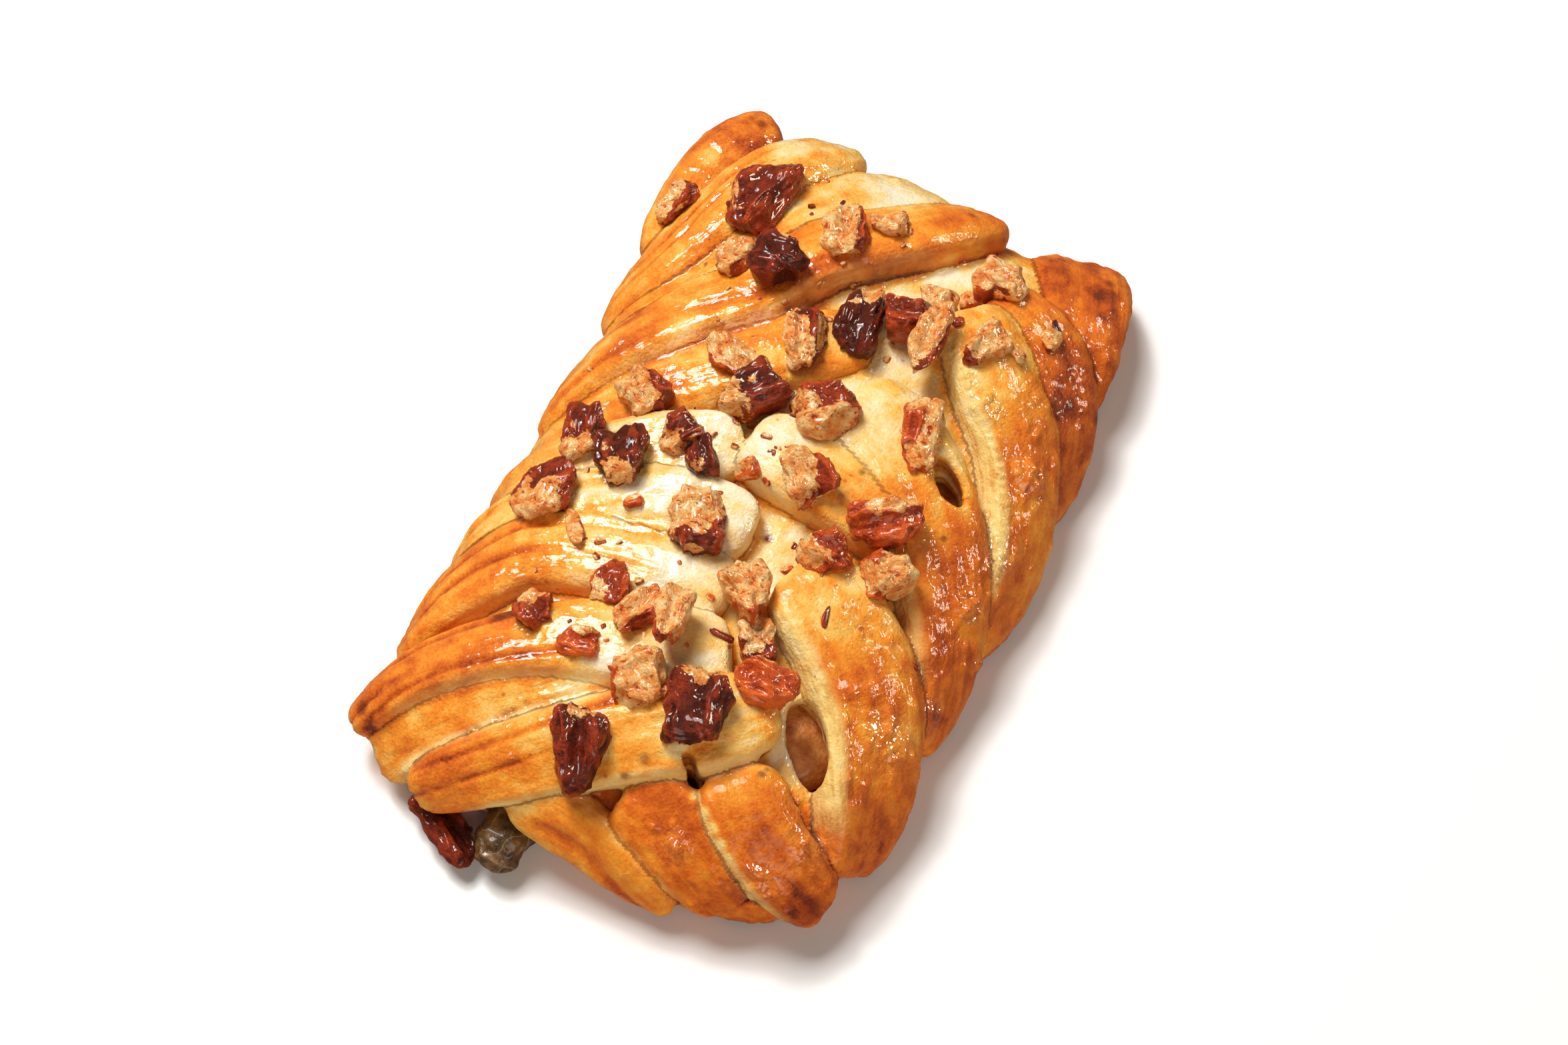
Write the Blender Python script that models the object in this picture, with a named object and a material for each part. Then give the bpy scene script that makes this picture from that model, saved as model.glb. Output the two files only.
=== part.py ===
"""A danish pastry plait: strips of laminated dough folded over a maple filling, with chopped pecans on top.

The long axis is Y, with the near end at -Y, X runs across, and the flat baked base lies at Z = 0.
Every size below is in millimetres; MM turns it into Blender's metres.
"""

import math

import bmesh
import bpy
from mathutils import Matrix, Vector
from mathutils.bvhtree import BVHTree

MM = 0.001

# The loaf that carries the strips: a pillow round a straight spine, widest at the rim and tucked in below it.
HALF_WIDTH = 35.5
HALF_SPINE = 27.0
END_LENGTH = 33.5
MIDDLE_Y = 1.0
CROWN_HEIGHT = 18.0
RIM_HEIGHT = 3.5
CORNER = 4.2  # exponent of the outline: 2 is an ellipse, more is squarer
SHOULDER = 0.74  # powers of the sine and cosine that draw the fall from the crown to the rim
CROWN = 1.15
BASE_SAG = 1.0  # how far the underside would hang below the floor before it is cut flat
BASE_TUCK = 0.3  # powers that round the turn from the rim to the underside: less is squarer
BASE_DROP = 0.4
RAY_SPREAD = 0.8  # below 1, the loaf's columns of faces crowd towards its four corners
LOAF_SEGMENTS = 40
LOAF_RINGS = 18
HALVINGS = 40  # steps of the search for a point of the outline
NORMAL_STEP = 1.5  # how far apart on the sheet the points lie that give the loaf's normal

# How a strip is rounded: at its ends, along its girth near the ends, and round its section.
STRIP_END = 0.55
STRIP_GIRTH = 0.42
STRIP_SIDE = 0.72
STRIP_SEGMENTS = 12
STRIP_RINGS = 12

# Each strip: where it leaves the rim (x, y, z), its middle and its end (x, y), its width at the rim and
# at the end, its thickness, how far its centre line rides above the loaf at the rim and at the end, and its
# roll in degrees about its own run: positive lifts the side that lies to the left of the run.
STRIPS = {
    "left_corner": ((-34, 31, 8.5), (-37.0, 50.5, 7.4), (-31.0, 63.5, 8.0), 11.0, 10.0, 9.0, 0.0, 0.0, 0),
    "left_1": ((-34.5, 18, 4), (-27.0, 42), (-18.5, 59.5), 12.0, 15.0, 8.0, 1.0, 2.5, 0),
    "left_2": ((-34.5, 8, 4), (-20.5, 33), (-3.0, 60), 12.0, 19.0, 7.0, -0.5, 1.4, 0),
    "left_3": ((-34.5, -3, 4), (-20.5, 23.5), (9.0, 58.5), 12.0, 15.0, 7.5, 0.7, 1.5, -8),
    "left_4": ((-34.5, -12, 4), (-18.5, 11), (2.0, 28.0), 13.0, 14.0, 6.0, -0.5, 0.0, 0),
    "left_5": ((-34.5, -22, 4), (-20.5, -6.5), (-4.8, 1.8), 13.0, 13.0, 6.0, 0.0, 2.0, 8),
    "left_6": ((-34.5, -33, 4), (-20.5, -16.5), (3.0, -10.5), 13.0, 13.5, 6.0, 0.0, 2.2, 8),
    "left_7": ((-34.5, -45, 4), (-27.5, -29), (4.5, -20.5), 13.0, 13.5, 6.5, 0.8, 1.2, 0),
    "left_8": ((-34.5, -55, 5), (-20.8, -42), (9.0, -28.8), 8.5, 15.0, 7.0, 1.0, 2.0, -6),
    "left_8_side": ((-30, -58, 3.5), (-20.0, -50.5), (-4, -39.0), 13.0, 9.0, 6.5, 0.0, 0.5, 0),
    "left_9": ((-18.5, -56, 6), (-2, -48), (17.5, -33.0), 9.5, 15.5, 7.0, 1.0, 3.2, 6),
    "right_1": ((31.0, 37, 5), (28.0, 49.5, 10.5), (21.8, 62.6, 4.9), 12.0, 19.0, 6.5, 0.0, 0.0, 12),
    "right_2": ((34, 18, 4), (32.0, 33), (15.5, 43.0), 13.0, 14.0, 6.0, 0.0, 1.0, 0),
    "right_3": ((34, -6, 4), (31.5, 18), (13.5, 38.5), 14.0, 14.0, 7.5, 0.0, 2.0, 0),
    "right_4": ((34, -24, 4), (27.0, 0), (5.0, 15.5), 12.0, 20.0, 7.0, 0.0, 2.8, 0),
    "right_4_fold": ((26, -2), (12.0, 1.5), (-4.5, 3.0), 11.0, 15.0, 7.0, 1.5, 2.4, 0),
    "right_5": ((34, -45, 4), (27.0, -24), (10.5, -14.0), 17.0, 17.0, 7.5, 0.3, 2.6, 0),
    "right_7": ((33, -50.0, 5), (26.5, -50), (17.0, -43.5), 10.0, 14.0, 6.5, 0.0, 1.8, 0),
    "right_8": ((19.5, -51.0, 6.5), (12.6, -53.0), (5.0, -50.5), 11.0, 13.0, 6.0, 0.2, 1.5, 0),
    "right_9": ((15, -57, 3.5), (3.0, -57.6), (-10.0, -56.5), 8.5, 11.0, 5.5, 0.6, 2.2, 0),
}

# The far corners spread out instead of hugging the loaf: their middle and end have a height (z) of their own.
LEVEL_STRIPS = ("left_corner", "right_1")

# The corner tips that stand clear of the loaf: how far their start is drawn out (x, y, z).
TIP_STARTS = {
    "left_8": (-4.3, -4.4, 0.5),
    "left_8_side": (-3.5, -3.0, 0.0),
    "left_9": (-3.5, -3.5, 1.0),
    "right_7": (2.0, -1.5, 0.0),
}

# The maple filling: a flattened roll inside the loaf that comes out at the near left end.
FILLING_ENDS_Y = (-67.0, 55.0)
FILLING_MOUTH = (-9.5, 4.3, 5.5, 3.9)  # x and z of its middle, half width and half height where it comes out
FILLING_BODY = (1.0, 9.2, 28.0, 4.9)
FILLING_TAPER_Y = (-62.0, -34.0)
FILLING_END = 0.7  # superellipse exponents, as for a strip
FILLING_GIRTH = 0.4
FILLING_SIDE = 0.8
FILLING_SEGMENTS = 18
FILLING_RINGS = 14

# The openings between strips where the filling shows: middle (x, y), length, width, turn of the long side.
OPENINGS = [(23.8, -34.6, 15.0, 6.2, -50), (24.2, 10.0, 9.0, 4.2, -40), (12.3, -46.7, 4.5, 1.8, -35)]
OPENING_FLOOR = 9.0
OPENING_TOP = 30.0
OPENING_TAPER = 0.84  # width at its floor as a share of the width at its top
OPENING_SEGMENTS = 12

GAP = 0.3  # clear space between one piece and the next
MERGE = 0.01  # points of the joined dough closer than this become one
SHARP_ANGLE = 40
FLOOR_CUT = (200, 240, 20)

# The pecan pieces: middle (x, y), length, width, turn of the length from X in degrees.
PECAN_HEIGHT = 0.72  # height of a piece as a share of its width
PECAN_SWELL = 1.08
PECAN_UNDERSIDE = 0.4  # the broken lower side is flatter than the top
PECAN_ROUND = 0.74
PECAN_LOBE = 0.07
PECAN_RIPPLE = 0.05
PECAN_GROOVE = (0.42, 0.24)  # depth and half width of the groove along the top, as shares of the half size
PECAN_BREAKS = 3  # flat broken faces
PECAN_BREAK_DEPTH = (0.88, 0.12)  # how far out they cut, and how much that varies
BREAK_TURN = 2.2  # radians from one broken face to the next
BREAK_TILT = 0.35
PHASE_STEP = 2.4  # radians from one piece's pattern to the next one's
PECAN_SINK = 1.0  # how deep a piece is pressed in before it is raised clear
PECAN_FOOT = 0.4  # radius, as a share of the length, of the ring of places that give its tilt
SETTLE_STEP = 0.1
SETTLE_STEPS = 200
PECANS = [
    (-36.8, 40.0, 9, 5.5, 75),
    (-23.4, 42.5, 14, 9, 80),
    (-22.2, 31.1, 7, 6, 45),
    (-14.7, 31.1, 8.5, 8, 0),
    (-8.2, 41.0, 11, 7, 110),
    (-2.9, 46.0, 5.5, 4.5, 30),
    (-12.6, 13.9, 10.5, 5.5, 165),
    (-7.5, 9.2, 11.5, 7.5, 50),
    (-5.5, 21.7, 11, 7, 115),
    (1.0, 28.6, 13, 7, 100),
    (6.5, 31.7, 7, 6.5, 20),
    (9.4, 37.3, 7, 5, 160),
    (12.0, 28.3, 13, 5, 95),
    (20.0, 32.7, 9, 6, 75),
    (15.9, 45.7, 8, 6, 0),
    (18.1, 14.4, 13, 7, 110),
    (4.0, 10.6, 10.3, 9, 45),
    (-22.8, 3.2, 9, 7, 160),
    (-27.4, -6.2, 10, 7, 105),
    (-27.4, -17.2, 11, 8, 80),
    (-19.5, -8.9, 9, 7.5, 120),
    (-13.0, -1.8, 7.5, 6.5, 60),
    (-8.0, -4.6, 6, 4.5, 130),
    (-4.0, -13.9, 10.5, 8.5, 120),
    (-10.4, -28.0, 7.5, 6, 100),
    (-4.5, -30.3, 9, 6, 70),
    (0.8, -29.9, 10, 4.5, 105),
    (-18.1, -36.3, 7, 6.5, 150),
    (-9.7, -38.5, 6, 4.5, 20),
    (0.3, -40.0, 9, 7.5, 120),
    (-2.4, -52.0, 12, 8, 295),
    (9.9, -40.4, 11.2, 9.2, 105),
    (16.2, -32.6, 9, 6.5, 15),
    (11.9, -26.1, 8, 6, 110),
    (7.0, -20.3, 8.5, 7.2, 150),
    (14.1, -10.0, 8, 6.5, 10),
    (23.2, -8.8, 8, 7, 60),
    (20.0, -1.8, 11, 7.5, 40),
    (7.0, -1.3, 9, 7.5, 140),
]
PECAN_AT_END = (-18.5, -61.0, 13, 6.5, 152)  # the piece that leans on the near left end, just off the floor
PECAN_AT_END_LEAN = 25
PECAN_AT_END_LIFT = 0.4
PECAN_SEGMENTS = 8
PECAN_RINGS = 8


def spow(value, exponent):
    """A power that keeps the sign, as a superellipse needs."""
    return math.copysign(abs(value) ** exponent, value)


def spine_y(y):
    return max(MIDDLE_Y - HALF_SPINE, min(MIDDLE_Y + HALF_SPINE, y))


def reach(x, y):
    """0 on the spine and 1 on the outline of the loaf."""
    along = abs(y - spine_y(y)) / END_LENGTH
    return (abs(x / HALF_WIDTH) ** CORNER + along**CORNER) ** (1 / CORNER)


def fold(x, y):
    """A point of the unrolled sheet, laid on the loaf. The rim is where reach is 1: beyond, it is level."""
    share = min(reach(x, y), 1.0)
    swell = math.sin(share * math.pi / 2) ** SHOULDER / share if share > 1e-6 else 1.0
    height = RIM_HEIGHT + (CROWN_HEIGHT - RIM_HEIGHT) * math.cos(share * math.pi / 2) ** CROWN
    middle = spine_y(y)
    return Vector((x * swell, middle + (y - middle) * swell, height))


def unfold(x, y, z=None):
    """The point of the unrolled sheet that lies at (x, y), or at height z on the way past it to the rim."""
    now = max(reach(x, y), 1e-6)
    if z is None and now < 1:
        share = math.asin(now ** (1 / SHOULDER)) / (math.pi / 2)
    elif z is None:
        share = now
    else:
        high = max(0.0, (z - RIM_HEIGHT) / (CROWN_HEIGHT - RIM_HEIGHT))
        share = math.acos(high ** (1 / CROWN)) / (math.pi / 2)
    middle = spine_y(y)
    return Vector((x * share / now, middle + (y - middle) * share / now))


def loaf_normal(x, y):
    """Unit normal of the loaf over a point of the unrolled sheet."""
    along_x = fold(x + NORMAL_STEP, y) - fold(x - NORMAL_STEP, y)
    along_y = fold(x, y + NORMAL_STEP) - fold(x, y - NORMAL_STEP)
    return along_x.cross(along_y).normalized()


def new_object(name, bm, collection):
    mesh = bpy.data.meshes.new(name)
    bm.to_mesh(mesh)
    bm.free()
    obj = bpy.data.objects.new(name, mesh)
    collection.objects.link(obj)
    return obj


def shaped_sphere(name, segments, rings, place, collection):
    """A closed form: a unit sphere whose every point is moved by place(direction), in millimetres."""
    bm = bmesh.new()
    bmesh.ops.create_uvsphere(bm, u_segments=segments, v_segments=rings, radius=1.0)
    for vert in bm.verts:
        vert.co = place(vert.co.normalized()) * MM
    bmesh.ops.triangulate(bm, faces=bm.faces)
    bmesh.ops.recalc_face_normals(bm, faces=bm.faces)
    return new_object(name, bm, collection)


def outline(turn):
    """The point of the outline that the ray of this angle meets."""
    ray = Vector((HALF_WIDTH * spow(math.cos(turn), RAY_SPREAD), 0))
    ray.y = (HALF_SPINE + END_LENGTH) * spow(math.sin(turn), RAY_SPREAD)
    low, high = 0.3, 2.0  # the answer, as a multiple of the ray, is halved in on between these
    for _ in range(HALVINGS):
        middle = (low + high) / 2
        if reach(ray.x * middle, ray.y * middle + MIDDLE_Y) < 1:
            low = middle
        else:
            high = middle
    return ray * low


def make_loaf(collection):
    def place(d):
        share = math.acos(abs(d.z)) / (math.pi / 2)
        edge = outline(math.atan2(d.y, d.x))
        if d.z > -1e-6:
            return fold(edge.x * share, edge.y * share + MIDDLE_Y)
        wide = math.sin(share * math.pi / 2) ** BASE_TUCK
        flat = Vector((edge.x * wide, edge.y * wide + MIDDLE_Y, 0))
        flat.z = RIM_HEIGHT - (RIM_HEIGHT + BASE_SAG) * math.cos(share * math.pi / 2) ** BASE_DROP
        return flat

    return shaped_sphere("dough", LOAF_SEGMENTS, LOAF_RINGS, place, collection)


class Run:
    """The centre line of a strip on the loaf, found by its share of the length."""

    STEPS = 48

    def __init__(self, spec, tip, level):
        start, middle, end, self.width_0, self.width_1, self.thick, lift_0, lift_1, roll = spec
        self.roll = math.radians(roll)
        lay = (lambda *place: Vector(place)) if level else unfold
        start, middle, end = lay(*start), lay(*middle), lay(*end)
        handle = 2 * middle - (start + end) / 2
        self.points, self.normals, self.lengths = [], [], [0.0]
        for i in range(self.STEPS + 1):
            t = i / self.STEPS
            p = start * (1 - t) ** 2 + handle * 2 * t * (1 - t) + end * t**2
            normal = Vector((0, 0, 1)) if level else loaf_normal(p.x, p.y)
            laid = p if level else fold(p.x, p.y)
            self.normals.append(normal)
            drawn = Vector(tip) * (1 - t) ** 3
            self.points.append(laid + normal * (lift_0 + (lift_1 - lift_0) * t) + drawn)
        for a, b in zip(self.points, self.points[1:]):
            self.lengths.append(self.lengths[-1] + (b - a).length)

    def at(self, share):
        """(point, across, up) at this share of the run's length."""
        goal = share * self.lengths[-1]
        i = max(0, next((k for k, s in enumerate(self.lengths) if s >= goal), self.STEPS) - 1)
        a, b = self.points[i], self.points[i + 1]
        t = (goal - self.lengths[i]) / (b - a).length
        ahead = self.points[min(self.STEPS, i + 3)] - self.points[max(0, i - 2)]
        normal = self.normals[i].lerp(self.normals[i + 1], t)
        across = normal.cross(ahead).normalized()
        up = ahead.cross(across).normalized()
        turn = Matrix.Rotation(self.roll, 3, ahead)
        return a.lerp(b, t), turn @ across, turn @ up


def make_strip(name, spec, collection):
    run = Run(spec, TIP_STARTS.get(name, (0, 0, 0)), name in LEVEL_STRIPS)

    def place(d):
        share = (1 - spow(d.z, STRIP_END)) / 2
        girth = math.hypot(d.x, d.y) ** STRIP_GIRTH
        turn = math.atan2(d.y, d.x)
        point, across, up = run.at(share)
        width = run.width_0 + (run.width_1 - run.width_0) * share
        side = width / 2 * girth * spow(math.cos(turn), STRIP_SIDE)
        rise = run.thick / 2 * girth * spow(math.sin(turn), STRIP_SIDE)
        return point + across * side + up * rise

    return shaped_sphere(name, STRIP_SEGMENTS, STRIP_RINGS, place, collection)


def smooth(value, low, high):
    t = max(0.0, min(1.0, (value - low) / (high - low)))
    return t * t * (3 - 2 * t)


def make_filling(name, swell, collection):
    """The filling, or, with swell, the hollow it lies in."""

    def place(d):
        share = (1 - spow(d.z, FILLING_END)) / 2
        near, far = FILLING_ENDS_Y[0] - swell, FILLING_ENDS_Y[1] + swell
        y = near + (far - near) * share
        body = smooth(y, *FILLING_TAPER_Y)
        x, z, half_width, half_height = (a + (b - a) * body for a, b in zip(FILLING_MOUTH, FILLING_BODY))
        girth = math.hypot(d.x, d.y) ** FILLING_GIRTH
        turn = math.atan2(d.y, d.x)
        side = (half_width + swell) * girth * spow(math.cos(turn), FILLING_SIDE)
        rise = (half_height + swell) * girth * spow(math.sin(turn), FILLING_SIDE)
        return Vector((x + side, y, z + rise))

    return shaped_sphere(name, FILLING_SEGMENTS, FILLING_RINGS, place, collection)


def make_opening(index, collection):
    x, y, length, width, turn = OPENINGS[index]
    bm = bmesh.new()
    floor_radius = OPENING_TAPER / 2
    bmesh.ops.create_cone(
        bm, cap_ends=True, segments=OPENING_SEGMENTS, radius1=floor_radius, radius2=0.5, depth=1.0
    )
    height = OPENING_TOP - OPENING_FLOOR
    stretch = Matrix.Diagonal((length, width, height, 1))
    place = Matrix.Translation((x, y, OPENING_FLOOR + height / 2))
    turned = place @ Matrix.Rotation(math.radians(turn), 4, "Z")
    bmesh.ops.transform(bm, matrix=Matrix.Scale(MM, 4) @ turned @ stretch, verts=bm.verts)
    return new_object(f"opening_{index + 1}", bm, collection)


def make_floor_cutter(collection):
    bm = bmesh.new()
    bmesh.ops.create_cube(bm, size=1.0)
    where = Matrix.Translation((0, 0, -FLOOR_CUT[2] / 2)) @ Matrix.Diagonal((*FLOOR_CUT, 1))
    bmesh.ops.transform(bm, matrix=Matrix.Scale(MM, 4) @ where, verts=bm.verts)
    return new_object("below_floor", bm, collection)


def apply_boolean(obj, operation, collection):
    """One exact Boolean against a whole collection, whose objects are then removed."""
    modifier = obj.modifiers.new(operation.lower(), "BOOLEAN")
    modifier.operation = operation
    modifier.solver = "EXACT"
    modifier.operand_type = "COLLECTION"
    modifier.collection = collection
    modifier.use_self = operation == "UNION"
    graph = bpy.context.evaluated_depsgraph_get()
    mesh = bpy.data.meshes.new_from_object(obj.evaluated_get(graph))
    obj.modifiers.clear()
    obj.data = mesh
    for used in list(collection.objects):
        bpy.data.objects.remove(used)


def put_in_order(bm):
    """Number and start all faces by where they lie, so that every run merges and splits them alike."""

    def renumber(parts, place):
        ranks = {part: rank for rank, part in enumerate(sorted(parts, key=place))}
        parts.sort(key=ranks.get)
        parts.index_update()

    renumber(bm.verts, lambda vert: tuple(vert.co))
    for face in [face for face in bm.faces if len(face.verts) > 3]:
        corners = list(face.verts)
        first = corners.index(min(corners, key=lambda vert: vert.index))
        bm.faces.remove(face)
        bm.faces.new(corners[first:] + corners[:first])
    renumber(bm.edges, lambda edge: sorted(vert.index for vert in edge.verts))
    renumber(bm.faces, lambda face: sorted(vert.index for vert in face.verts))


def tidy_mesh(obj):
    """Close up the hair-thin faces that a Boolean leaves."""
    bm = bmesh.new()
    bm.from_mesh(obj.data)
    put_in_order(bm)
    bmesh.ops.triangulate(bm, faces=bm.faces)
    bmesh.ops.remove_doubles(bm, verts=bm.verts, dist=MERGE * MM)
    bmesh.ops.dissolve_degenerate(bm, edges=bm.edges, dist=MERGE * MM)
    bmesh.ops.triangulate(bm, faces=bm.faces)
    put_in_order(bm)
    bmesh.ops.recalc_face_normals(bm, faces=bm.faces)
    bm.to_mesh(obj.data)
    bm.free()


def tree_of(obj, swell=0.0):
    """A search tree of an object's faces, with its surface moved out by swell millimetres."""
    mesh = obj.data
    points = [v.co + v.normal * swell * MM for v in mesh.vertices]
    return BVHTree.FromPolygons(points, [tuple(p.vertices) for p in mesh.polygons])


def pecan_form(index, length, width):
    """place(direction) for one piece: a lobed half kernel with grooves, broken off flat at its ends."""
    phase = index * PHASE_STEP
    height = width * PECAN_HEIGHT
    cuts = []
    for k in range(PECAN_BREAKS):
        angle = phase + k * BREAK_TURN
        cut = Vector((math.cos(angle), math.sin(angle), BREAK_TILT * math.sin(3 * angle))).normalized()
        cuts.append((cut, PECAN_BREAK_DEPTH[0] + PECAN_BREAK_DEPTH[1] * math.sin(phase * 1.7 + k)))
    groove = PECAN_GROOVE[0] * abs(math.cos(phase))

    def place(d):
        p = Vector([spow(part, PECAN_ROUND) for part in d])
        lobes = PECAN_LOBE * math.sin(3 * math.atan2(d.y, d.x) + phase)
        p *= 1 + lobes + PECAN_RIPPLE * math.sin(5 * d.x + phase)
        for cut, depth in cuts:
            p -= cut * max(0.0, p.dot(cut) - depth)
        if d.z > 0:
            p.z *= 1 - groove * math.exp(-((d.y / PECAN_GROOVE[1]) ** 2))
        else:
            p.z *= PECAN_UNDERSIDE
        return Vector((p.x * length / 2, p.y * width / 2, p.z * height / 2)) * PECAN_SWELL

    return place


def settle(obj, grounds, step):
    """Move a piece by small steps until it stands GAP clear of everything it lies on."""
    for _ in range(SETTLE_STEPS):
        skin = tree_of(obj, GAP)
        if not any(ground.overlap(skin) for ground in grounds):
            return
        obj.data.transform(Matrix.Translation(step * MM))
        obj.data.update()


def new_pecan(index, length, width, collection):
    form = pecan_form(index, length, width)
    return shaped_sphere(f"pecan_{index + 1:02d}", PECAN_SEGMENTS, PECAN_RINGS, form, collection)


def drop(tree, x, y):
    """The point and the normal of the surface straight below a place high over it."""
    hit, normal, _, _ = tree.ray_cast(Vector((x, y, 2 * OPENING_TOP)) * MM, Vector((0, 0, -1)))
    return hit, normal


def make_pecan(index, spec, dough_tree, grounds, collection):
    """A piece that lies on the dough, tilted as the dough under it is, pressed in and then raised clear."""
    x, y, length, width, turn = spec
    obj = new_pecan(index, length, width, collection)
    normal = Vector((0, 0, 0))
    for k in range(6):
        round_it = Matrix.Rotation(k * math.pi / 3, 2) @ Vector((PECAN_FOOT * length, 0))
        hit, face_normal = drop(dough_tree, x + round_it.x, y + round_it.y)
        if hit:
            normal += face_normal
    normal = normal.normalized()
    hit, _ = drop(dough_tree, x, y)
    ahead = Vector((math.cos(math.radians(turn)), math.sin(math.radians(turn)), 0))
    side = normal.cross(ahead).normalized()
    frame = Matrix((side.cross(normal), side, normal)).transposed().to_4x4()
    obj.data.transform(Matrix.Translation(hit - normal * PECAN_SINK * MM) @ frame)
    obj.data.update()
    settle(obj, grounds, Vector((0, 0, SETTLE_STEP)))
    grounds.append(tree_of(obj))
    return obj


def make_end_pecan(index, grounds, collection):
    x, y, length, width, turn = PECAN_AT_END
    obj = new_pecan(index, length, width, collection)
    lean = Matrix.Rotation(math.radians(PECAN_AT_END_LEAN), 4, "X")
    obj.data.transform(Matrix.Rotation(math.radians(turn), 4, "Z") @ lean)
    low = min(v.co.z for v in obj.data.vertices)
    obj.data.transform(Matrix.Translation(Vector((x * MM, y * MM, PECAN_AT_END_LIFT * MM - low))))
    obj.data.update()
    settle(obj, grounds, Vector((0, -SETTLE_STEP, 0)))
    return obj


def give_material(obj, colour, roughness, coat):
    material = bpy.data.materials.new(f"{obj.name}_material")
    material.use_nodes = True
    shader = material.node_tree.nodes["Principled BSDF"]
    shader.inputs["Base Color"].default_value = (*colour, 1.0)
    shader.inputs["Roughness"].default_value = roughness
    shader.inputs["Coat Weight"].default_value = coat
    obj.data.materials.clear()
    obj.data.materials.append(material)
    obj.data.shade_smooth()
    obj.data.set_sharp_from_angle(angle=math.radians(SHARP_ANGLE))


def recentre(objects):
    """Shift the whole pastry so that its box stands on the floor, centred on the origin."""
    points = [v.co for obj in objects for v in obj.data.vertices]
    low = Vector([min(p[k] for p in points) for k in range(3)])
    high = Vector([max(p[k] for p in points) for k in range(3)])
    shift = Vector((-(low.x + high.x) / 2, -(low.y + high.y) / 2, -low.z))
    for obj in objects:
        obj.data.transform(Matrix.Translation(shift))
        obj.data.update()


def main():
    for old in list(bpy.data.objects):
        bpy.data.objects.remove(old)
    scene = bpy.context.scene.collection
    pastry = bpy.data.collections.new("danish_plait")
    strips = bpy.data.collections.new("strips")
    cutters = bpy.data.collections.new("cutters")
    for collection in (pastry, strips, cutters):
        scene.children.link(collection)

    dough = make_loaf(pastry)
    for name, spec in STRIPS.items():
        make_strip(name, spec, strips)
    apply_boolean(dough, "UNION", strips)
    make_filling("hollow", GAP, cutters)
    for index in range(len(OPENINGS)):
        make_opening(index, cutters)
    make_floor_cutter(cutters)
    apply_boolean(dough, "DIFFERENCE", cutters)
    for used in (strips, cutters):
        bpy.data.collections.remove(used)
    tidy_mesh(dough)
    filling = make_filling("filling", 0.0, pastry)

    dough_tree = tree_of(dough)
    grounds = [dough_tree, tree_of(filling)]
    pecans = [make_pecan(i, spec, dough_tree, grounds, pastry) for i, spec in enumerate(PECANS)]
    pecans.append(make_end_pecan(len(PECANS), grounds, pastry))

    recentre([dough, filling, *pecans])
    give_material(dough, (0.62, 0.30, 0.08), 0.35, 0.3)
    give_material(filling, (0.22, 0.09, 0.02), 0.3, 0.3)
    for pecan in pecans:
        give_material(pecan, (0.16, 0.035, 0.012), 0.35, 0.3)


main()
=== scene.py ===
import itertools
import math

import bmesh
import bpy
import numpy as np
from mathutils import Matrix, Vector
from mathutils.bvhtree import BVHTree
from mathutils.kdtree import KDTree


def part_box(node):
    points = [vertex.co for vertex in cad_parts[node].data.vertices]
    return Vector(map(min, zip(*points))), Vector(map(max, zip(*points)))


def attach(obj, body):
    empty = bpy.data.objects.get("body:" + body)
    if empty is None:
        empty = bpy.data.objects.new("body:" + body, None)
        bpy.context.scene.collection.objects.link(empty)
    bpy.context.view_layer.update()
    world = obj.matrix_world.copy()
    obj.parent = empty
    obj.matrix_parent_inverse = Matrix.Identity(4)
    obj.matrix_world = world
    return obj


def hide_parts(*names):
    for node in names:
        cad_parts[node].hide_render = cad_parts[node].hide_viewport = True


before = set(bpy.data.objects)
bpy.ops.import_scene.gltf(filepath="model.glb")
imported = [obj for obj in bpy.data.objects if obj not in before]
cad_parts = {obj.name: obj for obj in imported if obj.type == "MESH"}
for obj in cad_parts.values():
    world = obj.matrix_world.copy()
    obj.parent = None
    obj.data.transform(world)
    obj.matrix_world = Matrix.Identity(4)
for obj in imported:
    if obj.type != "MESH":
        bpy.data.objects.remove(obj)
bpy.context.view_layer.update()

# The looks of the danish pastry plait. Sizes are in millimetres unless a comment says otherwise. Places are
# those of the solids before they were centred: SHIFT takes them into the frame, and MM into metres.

MM = 0.001
DOWN = Vector((0, 0, -1))

# The loaf under the strips, as the solids have it.
HALF_WIDTH, HALF_SPINE, END_LENGTH, MIDDLE_Y = 35.5, 27.0, 33.5, 1.0
CROWN_HEIGHT, RIM_HEIGHT, CORNER, SHOULDER, CROWN = 18.0, 3.5, 4.2, 0.74, 1.15
BASE_SAG, BASE_TUCK, BASE_DROP = 1.0, 0.3, 0.4
STRIP_END, STRIP_GIRTH, STRIP_SIDE = 0.55, 0.42, 0.72
NORMAL_STEP = 1.5

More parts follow.
